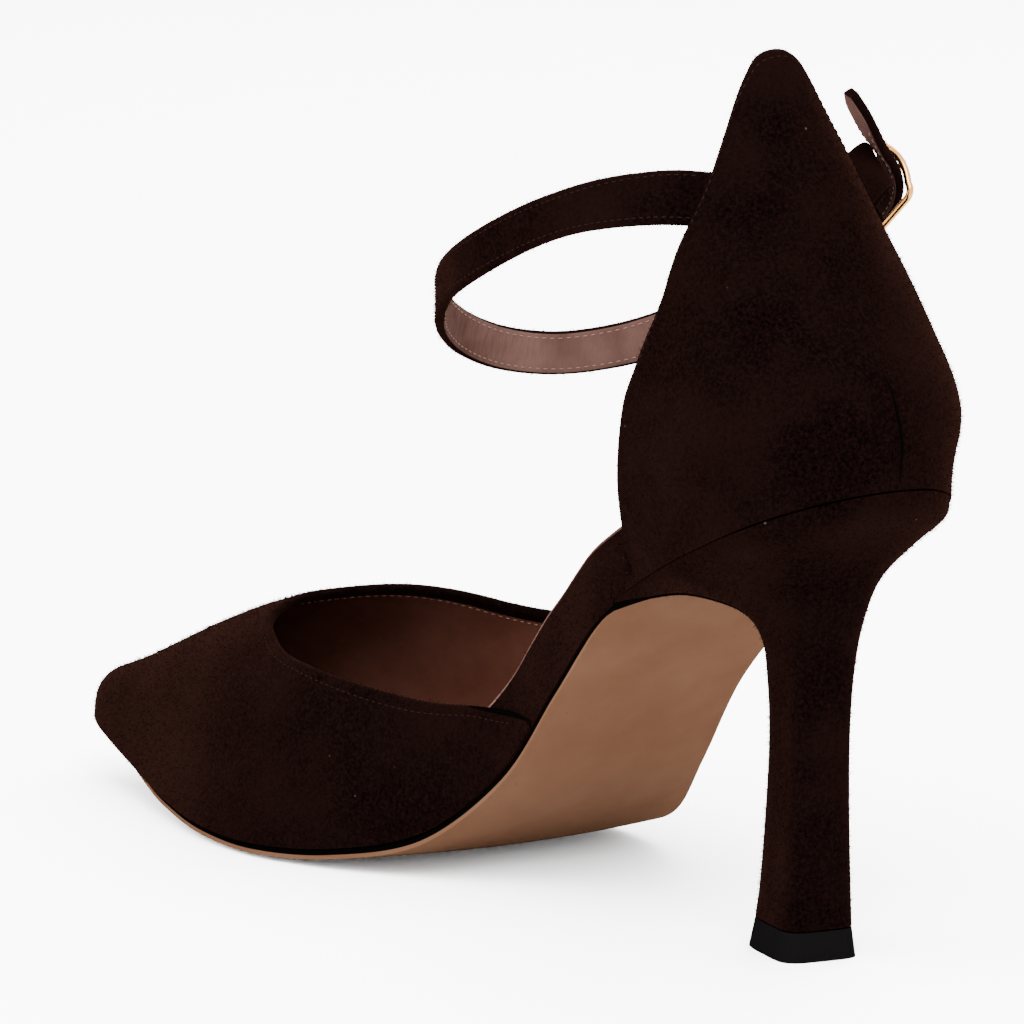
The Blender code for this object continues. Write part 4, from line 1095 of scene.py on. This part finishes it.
def stitch_group(thread):
    """Geometry nodes that lay stitches along a curve: one short rounded thread after another."""
    group, identifiers = node_group("stitches", "Pitch", "Length", "Radius")
    start = add(group, "NodeGroupInput")
    resample = add(group, "GeometryNodeResampleCurve", mode="LENGTH")
    tangent = add(group, "GeometryNodeInputTangent")
    align = add(group, "FunctionNodeAlignRotationToVector", axis="X")
    ball = add(group, "GeometryNodeMeshUVSphere", {"Segments": 8, "Rings": 5, "Radius": 1.0})
    size = add(group, "ShaderNodeCombineXYZ")
    half = add(group, "ShaderNodeMath", {1: 0.5}, operation="MULTIPLY")
    link = group.links.new
    link(start.outputs["Geometry"], resample.inputs["Curve"])
    link(start.outputs["Pitch"], resample.inputs["Length"])
    link(tangent.outputs[0], align.inputs["Vector"])
    link(start.outputs["Length"], half.inputs[0])
    link(half.outputs[0], size.inputs[0])
    link(start.outputs["Radius"], size.inputs[1])
    link(start.outputs["Radius"], size.inputs[2])
    scattered(group, resample.outputs[0], ball.outputs["Mesh"], align.outputs[0], size.outputs[0], thread)
    return group, identifiers


def nap_group(suede_finish):
    """Geometry nodes that stand short fine hairs on the suede of a piece and keep only the hairs."""
    group, identifiers = node_group("nap", "Density", "Length")
    start = add(group, "NodeGroupInput")
    chosen = add(group, "GeometryNodeMaterialSelection", {"Material": suede_finish})
    scatter = add(group, "GeometryNodeDistributePointsOnFaces", {"Seed": NAP_SEED})
    hair = add(group, "GeometryNodeMeshCone", {
        "Vertices": 3, "Radius Top": 0.0, "Radius Bottom": HAIR_RADIUS}, fill_type="NONE")
    lean = add(group, "FunctionNodeRandomValue", {
        "Min": (-HAIR_LEAN, -HAIR_LEAN, 0.0), "Max": (HAIR_LEAN, HAIR_LEAN, 3.0), "Seed": NAP_SEED},
        data_type="FLOAT_VECTOR")
    turned = add(group, "FunctionNodeRotateRotation", rotation_space="LOCAL")
    size = add(group, "FunctionNodeRandomValue", {
        2: HAIR_SIZES[0], 3: HAIR_SIZES[1], "Seed": NAP_SEED}, data_type="FLOAT")
    link = group.links.new
    link(start.outputs["Geometry"], scatter.inputs["Mesh"])
    link(start.outputs["Density"], scatter.inputs["Density"])
    link(start.outputs["Length"], hair.inputs["Depth"])
    link(chosen.outputs[0], scatter.inputs["Selection"])
    link(scatter.outputs["Rotation"], turned.inputs[0])
    link(lean.outputs[0], turned.inputs[1])
    scattered(group, scatter.outputs["Points"], hair.outputs["Mesh"], turned.outputs[0], size.outputs[1],
              suede_finish)
    return group, identifiers


def nap(obj, settings):
    """The short hairs that stand out of a piece's suede, as a piece of their own."""
    source = obj.copy()
    bpy.context.scene.collection.objects.link(source)
    group, (density, length) = nap_group(materials(settings)["brushed_suede"])
    hairs = grown(source, obj.name + "_nap", group, {
        density: settings.nap_density, length: settings.nap_length})
    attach(hairs, "root")


def stitches(name, paths, settings, thread):
    """Rows of stitches along paths of points, as one mesh piece."""
    curve = bpy.data.curves.new(name, "CURVE")
    curve.dimensions = "3D"
    for path in paths:
        line = curve.splines.new("POLY")
        line.points.add(len(path) - 1)
        line.points.foreach_set("co", np.column_stack([path, np.ones(len(path))]).ravel())
    source = placed(name + "_path", curve)
    group, (pitch, length, radius) = stitch_group(materials(settings)[thread])
    obj = grown(source, name, group, {
        pitch: settings.stitch_pitch, length: STITCH_LENGTH, radius: STITCH_RADIUS})
    obj.data.shade_smooth()
    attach(obj, "root")
    return obj


def materials(settings):
    """All materials by name, made once."""
    if "thread" not in bpy.data.materials:
        suede(settings)
        smooth_leather("lining", (0.031, 0.0106, 0.0069), (0.045, 0.0168, 0.0119))
        smooth_leather("strap_lining", (0.018, 0.0086, 0.0068), (0.036, 0.0195, 0.0162), 900.0)
        sole_finish("tread", (0.033, 0.0156, 0.0086), (0.041, 0.0208, 0.0124))
        plain("sole_edge", (0.0003, 0.00028, 0.00028), 0.9)
        plain("top_lift", (0.0012, 0.0011, 0.0011), 0.9)
        plain("thread", (0.0048, 0.0022, 0.0018), 0.9)
        plain("pale_thread", (0.06, 0.033, 0.027), 0.8, specular=0.05)
        plain("gold", (0.25, 0.118, 0.034), 0.22, metallic=1.0, specular=0.5)
        plain("floor", (0.94, 0.94, 0.94), 0.9, specular=0.1)
    return bpy.data.materials


def bead(name, path, sizes, material):
    """A thin bead along a path, with the radius that sizes gives at each point."""
    rings = path[:, None] + (wire_rings(path, 1.0, False, 10) - path[:, None]) * sizes[:, None, None]
    sheet = Sheet()
    sheet.tube(rings, 0)
    obj = sheet.make(name, (material,))
    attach(obj, "root")
    return obj


def breast_edge(body, found):
    """The inked line along the heel's inner front corner, which fades out down the column."""
    around = body.shape[1]
    # The inner front corner is three eighths of the way round from the back. The line covers the upper
    # three fifths of the heel's rows.
    path = body[::-1, (3 * around) // 8][: (3 * len(body)) // 5]
    fade = 1 - ease(np.linspace(-0.6, 1.0, len(path)))
    return bead("breast_edge", path, INK_LEAST + (INK_RADIUS - INK_LEAST) * fade, found["sole_edge"])


def wing_gap(top, found):
    """A painted shadow: a dark bead under the inner wing's top edge, where the vamp passes over the rim
    and shade falls.
    """
    if top[0, 1] < 0:
        top = top[::-1]
    path = top[: len(top) // WING_SHADOW_SHARE] + np.array(WING_SHADOW_OFFSET)
    taper = np.sin(np.linspace(0.04, 0.96, len(path)) * math.pi)
    return bead("wing_gap", path, WING_SHADOW_RADIUS * taper, found["sole_edge"])


def dart(found):
    """The short closed seam up the back of the counter, sunk into the suede."""
    height = np.linspace(DART_FOOT, DART_TOP, 40)
    path = counter_section(0.0 * height, height, 1.0)
    taper = np.sin(np.linspace(0.02, 0.98, len(height)) * math.pi) ** 0.5
    return bead("dart", path, DART_RADIUS * taper, found["sole_edge"])


class ShoeSettings(bpy.types.PropertyGroup):
    """Sizes and colours of what the render adds to the CAD model."""

    suede_dark: bpy.props.FloatVectorProperty(
        name="Suede", description="Colour of the nap where it lies flat", subtype="COLOR",
        default=(0.00024, 0.00012, 0.00013), min=0.0, max=1.0)
    suede_light: bpy.props.FloatVectorProperty(
        name="Brushed suede", description="Colour of the nap where it stands up", subtype="COLOR",
        default=(0.0015, 0.00062, 0.00052), min=0.0, max=1.0)
    sheen: bpy.props.FloatProperty(
        name="Sheen", description="How much light the nap catches at grazing angles",
        default=0.014, min=0.0, max=1.0, subtype="FACTOR")
    stitch_pitch: bpy.props.FloatProperty(
        name="Stitch pitch", description="Distance from one stitch to the next",
        default=0.0015, min=0.0005, max=0.01, unit="LENGTH")
    nap_length: bpy.props.FloatProperty(
        name="Nap length", description="Length of the suede's hairs, before each gets its own size",
        default=0.0008, min=0.0001, max=0.003, unit="LENGTH")
    nap_density: bpy.props.FloatProperty(
        name="Nap density", description="Hairs for each square metre of suede",
        default=1300000.0, min=0.0, max=2000000.0)
    light: bpy.props.FloatProperty(
        name="Light", description="Strength of the soft lights", default=1.0, min=0.0, max=10.0)


def settings_of(context):
    return context.scene.shoe


class SHOE_OT_upper(bpy.types.Operator):
    """Builds the upper: vamp, side rims and counter, with folded edges and lining"""

    bl_idname = "shoe.upper"
    bl_label = "Upper"

    def execute(self, context):
        settings = settings_of(context)
        made = walls()
        sheet = Sheet()
        for name, (outer, inner, wall) in made.items():
            edge_slot, fold_rows = (RIM_EDGE, 0) if name.startswith("rim") else (SUEDE, FOLD_ROWS)
            wall_piece(sheet, outer, inner, wall, edge_slot, fold_rows)
        found = materials(settings)
        slots = (found["brushed_suede"], found["lining"], found["strap_lining"])
        obj = sheet.make("upper_cover", slots, 60.0)
        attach(obj, "root")
        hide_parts("upper")
        nap(obj, settings)
        counter, vamp = made["counter"], made["vamp"]
        for name, thread, pairs in (
            ("upper_seams", "thread", ((counter[0], counter[1], 2), (vamp[0], vamp[1], 3))),
            ("lining_seams", "pale_thread", ((vamp[1], vamp[0], 5), (counter[1], counter[0], 5))),
        ):
            lines = []
            for grid, other, row in pairs:
                away = unit(grid[:, -row] - other[:, -row])
                lines.append((grid[:, -row] + away * SEAM_LIFT)[SEAM_ENDS:-SEAM_ENDS])
            stitches(name, lines, settings, thread)
        dart(found)
        # a dark bead painted as the shade under the inner wing's top edge
        wing_gap(vamp[0][:, -1], found)
        return {"FINISHED"}


class SHOE_OT_heel(bpy.types.Operator):
    """Builds the covered heel and its rubber tip"""

    bl_idname = "shoe.heel"
    bl_label = "Heel"

    def execute(self, context):
        settings = settings_of(context)
        found = materials(settings)
        turn = np.linspace(0.0, 2 * math.pi, HEEL_SIDES, endpoint=False)
        rings = heel_rings(turn)
        joint = ring_between(rings, TIP_HEIGHT + CLEARANCE)
        body = refine(np.array([joint] + rings[1:] + [seat_ring(turn)]), 6)
        body = refine(body.transpose(1, 0, 2), FINE, closed=True).transpose(1, 0, 2)
        sheet = Sheet()
        sheet.tube(body, 0)
        sheet.cap(body[0][::-1], 0)
        sheet.cap(body[-1], 0)
        heel = sheet.make("heel_cover", (found["brushed_suede"],), 50.0)
        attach(heel, "root")
        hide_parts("heel")
        breast_edge(body, found)
        nap(heel, settings)
        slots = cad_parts["heel_tip"].data.materials
        slots.clear()
        slots.append(found["top_lift"])
        return {"FINISHED"}


class SHOE_OT_sole(bpy.types.Operator):
    """Builds the leather sole and the covered insole"""

    bl_idname = "shoe.sole"
    bl_label = "Sole"

    def execute(self, context):
        settings = settings_of(context)
        found = materials(settings)
        top, bottom = sole_rows()
        sheet = Sheet()
        sheet.grid(top, 1)
        sheet.grid(bottom, 0)
        plain_edge = BARE_EDGE * ease((top[:, :1, 0] - top[0, :1, 0]) / (2.0 * BREAST_CORNER))
        for side in (0, -1):
            inked = mix(bottom[:, side], top[:, side], plain_edge)
            sheet.grid(np.stack([top[:, side], inked, bottom[:, side]], axis=1), lambda j: 1 - j)
            sheet.grid(np.stack([top[side], bottom[side]], axis=0), 1)
        sole = sheet.make("sole_cover", (found["tread"], found["sole_edge"]), 35.0)
        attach(sole, "root")
        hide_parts("outsole")
        top, bottom = insole_rows()
        sheet = Sheet()
        sheet.grid(top, 0)
        sheet.grid(bottom, 1)
        for side in (0, -1):
            sheet.grid(np.stack([top[:, side], bottom[:, side]], axis=1), 1)
            sheet.grid(np.stack([top[side], bottom[side]], axis=0), 1)
        sock = sheet.make("sock", (found["lining"], found["brushed_suede"]), 35.0)
        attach(sock, "root")
        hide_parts("insole")
        return {"FINISHED"}


def band(name, path, across, width, thickness, spread, found, inner_side):
    """A flat strap with rounded edges: suede outside, another leather inside.

    Spread is the share of its width at each place, and inner_side the side, 1 or -1, that is leather.
    """
    ahead = unit(np.gradient(path, axis=0))
    across = unit(across - ahead * (across * ahead).sum(axis=1)[:, None])
    out = np.cross(ahead, across)
    half, thick = width / 2, thickness / 2
    turn = np.linspace(-0.5, 0.5, 7) * math.pi
    outline = [(half - thick + thick * math.cos(t), thick * math.sin(t)) for t in turn]
    outline += [(a, thick) for a in np.linspace(half - thick, thick - half, 8)[1:-1]]
    outline += [(-half + thick - thick * math.cos(t), -thick * math.sin(t)) for t in turn]
    outline += [(a, -thick) for a in np.linspace(thick - half, half - thick, 8)[1:-1]]
    outline.append(outline[0])
    rings = np.array([
        [at + a * scale * wide + b * normal for a, b in outline]
        for at, wide, normal, scale in zip(path, across, out, spread)
    ])
    places = np.array([[(way, a) for a, b in outline] for way in run(path)])
    inside = [(a[1] + b[1]) / 2 * inner_side > 0.8 * thick for a, b in zip(outline[:-1], outline[1:])]
    sheet = Sheet()
    sheet.grid(rings, lambda j: int(inside[j]), places=places)
    sheet.cap(rings[0][:-1], 0)
    sheet.cap(rings[-1][:-1][::-1], 0)
    obj = sheet.make(name, (found["brushed_suede"], found["strap_lining"]), 50.0)
    return obj, out, across


class SHOE_OT_straps(bpy.types.Operator):
    """Builds the ankle strap with its tail, and the short strap that holds the buckle"""

    bl_idname = "shoe.straps"
    bl_label = "Straps"

    def execute(self, context):
        settings = settings_of(context)
        found = materials(settings)
        path, across = strap_route()
        share = np.linspace(0.0, 1.0, len(path))
        flare = 1 + STRAP_FLARE / STRAP_WIDTH * (1 - ease((share - 0.04) / 0.13))
        tip = closing((1 - share) * 0.25, 0.006, 2.2)
        spread = flare * np.maximum(tip, TIP_LEAST)
        path, across = refine(path, FINE), refine(across, FINE)
        spread = refine(spread[:, None], FINE)[:, 0]
        strap, out, across = band(
            "strap_cover", path, across, STRAP_WIDTH, STRAP_THICKNESS, spread, found, 1)
        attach(strap, "root")
        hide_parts("ankle_strap")
        nap(strap, settings)
        inset = (STRAP_WIDTH / 2 * spread - STRAP_SEAM)[:, None] * across
        lift = (STRAP_THICKNESS / 2 + SEAM_LIFT) * out
        for name, thread, face in (
            ("strap_seams", "thread", -1),
            ("strap_lining_seams", "pale_thread", 1),
        ):
            lines = [(path + side * inset + face * lift)[10:-8] for side in (-1, 1)]
            stitches(name, lines, settings, thread)
        route, direction = stub_route()
        route, direction = refine(route, FINE), refine(direction, FINE)
        stub = band(
            "buckle_strap_cover", route, direction, STRAP_WIDTH + STUB_EXTRA, STUB_THICKNESS,
            np.ones(len(route)), found, -1)[0]
        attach(stub, "root")
        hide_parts("buckle_strap")
        return {"FINISHED"}


class SHOE_OT_buckle(bpy.types.Operator):
    """Builds the buckle's smooth frame and prong"""

    bl_idname = "shoe.buckle"
    bl_label = "Buckle"

    def execute(self, context):
        found = materials(settings_of(context))
        frame_path, prong_path = buckle_paths()
        sheet = Sheet()
        sheet.tube(wire_rings(frame_path, BUCKLE_WIRE / 2, True, 20), 0, closed=True)
        rings = wire_rings(refine(prong_path, FINE), PRONG_WIRE / 2, False, 20)
        rings[-1] = rings[-1].mean(axis=0) + (rings[-1] - rings[-1].mean(axis=0)) * PRONG_TIP
        sheet.tube(rings, 0)
        sheet.cap(rings[0][::-1], 0)
        sheet.cap(rings[-1], 0)
        obj = sheet.make("buckle_cover", (found["gold"],), 50.0)
        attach(obj, "root")
        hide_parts("buckle")
        return {"FINISHED"}


def facing(place, way):
    """The transform of a lamp or camera at a place that looks along a direction."""
    return Matrix.Translation(place) @ way.to_track_quat("-Z", "Y").to_matrix().to_4x4()


class SHOE_OT_stage(bpy.types.Operator):
    """Sets up the pale floor, the soft lights and the camera at the photograph's angle"""

    bl_idname = "shoe.stage"
    bl_label = "Stage"

    def execute(self, context):
        settings = settings_of(context)
        mesh = bpy.data.meshes.new("floor")
        corners = [(x * FLOOR_HALF, y * FLOOR_HALF, 0.0) for x, y in ((-1, -1), (1, -1), (1, 1), (-1, 1))]
        mesh.from_pydata(corners, [], [(0, 1, 2, 3)])
        mesh.materials.append(materials(settings)["floor"])
        placed("floor", mesh)
        world = bpy.data.worlds.new("studio")
        world.use_nodes = True
        background = world.node_tree.nodes["Background"]
        background.inputs["Color"].default_value = (1.0, 1.0, 1.0, 1.0)
        background.inputs["Strength"].default_value = WORLD_STRENGTH
        context.scene.world = world
        for name, place, size, power in (
            ("key", (-0.9, 0.5, 1.3), 1.0, 100.0),
            ("fill", (0.4, 1.5, 0.9), 1.2, 48.0),
            ("rim", (0.9, -0.9, 1.1), 0.8, 42.0),
        ):
            data = bpy.data.lights.new(name, "AREA")
            data.size = size
            data.energy = power * settings.light
            lamp = placed(name, data)
            lamp.matrix_world = facing(place, Vector(LIGHTS_AIM) - Vector(place))
        data = bpy.data.cameras.new("camera")
        data.sensor_width = SENSOR_WIDTH
        data.lens = FOCAL_LENGTH / PICTURE_WIDTH * SENSOR_WIDTH
        data.clip_end = 50.0
        camera = placed("camera", data)
        level = math.cos(CAMERA_DIP)
        camera.matrix_world = facing(CAMERA_PLACE, Vector((
            math.cos(CAMERA_TURN) * level, -math.sin(CAMERA_TURN) * level, -math.sin(CAMERA_DIP))))
        context.scene.camera = camera
        return {"FINISHED"}


class SHOE_PT_panel(bpy.types.Panel):
    bl_idname = "SHOE_PT_panel"
    bl_label = "High heel shoe"
    bl_space_type = "VIEW_3D"
    bl_region_type = "UI"
    bl_category = "Shoe"

    def draw(self, context):
        settings = settings_of(context)
        for name in (
            "suede_dark", "suede_light", "sheen", "stitch_pitch", "nap_length", "nap_density", "light",
        ):
            self.layout.prop(settings, name)
        for step in ("upper", "heel", "sole", "straps", "buckle", "stage"):
            self.layout.operator("shoe." + step)


CLASSES = (
    ShoeSettings, SHOE_OT_upper, SHOE_OT_heel, SHOE_OT_sole, SHOE_OT_straps, SHOE_OT_buckle,
    SHOE_OT_stage, SHOE_PT_panel,
)


def register():
    for entry in CLASSES:
        bpy.utils.register_class(entry)
    bpy.types.Scene.shoe = bpy.props.PointerProperty(type=ShoeSettings)


def unregister():
    del bpy.types.Scene.shoe
    for entry in reversed(CLASSES):
        bpy.utils.unregister_class(entry)


def main():
    register()
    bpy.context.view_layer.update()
    bpy.ops.shoe.upper()
    bpy.ops.shoe.heel()
    bpy.ops.shoe.sole()
    bpy.ops.shoe.straps()
    bpy.ops.shoe.buckle()
    bpy.ops.shoe.stage()


if __name__ == "__main__":
    main()
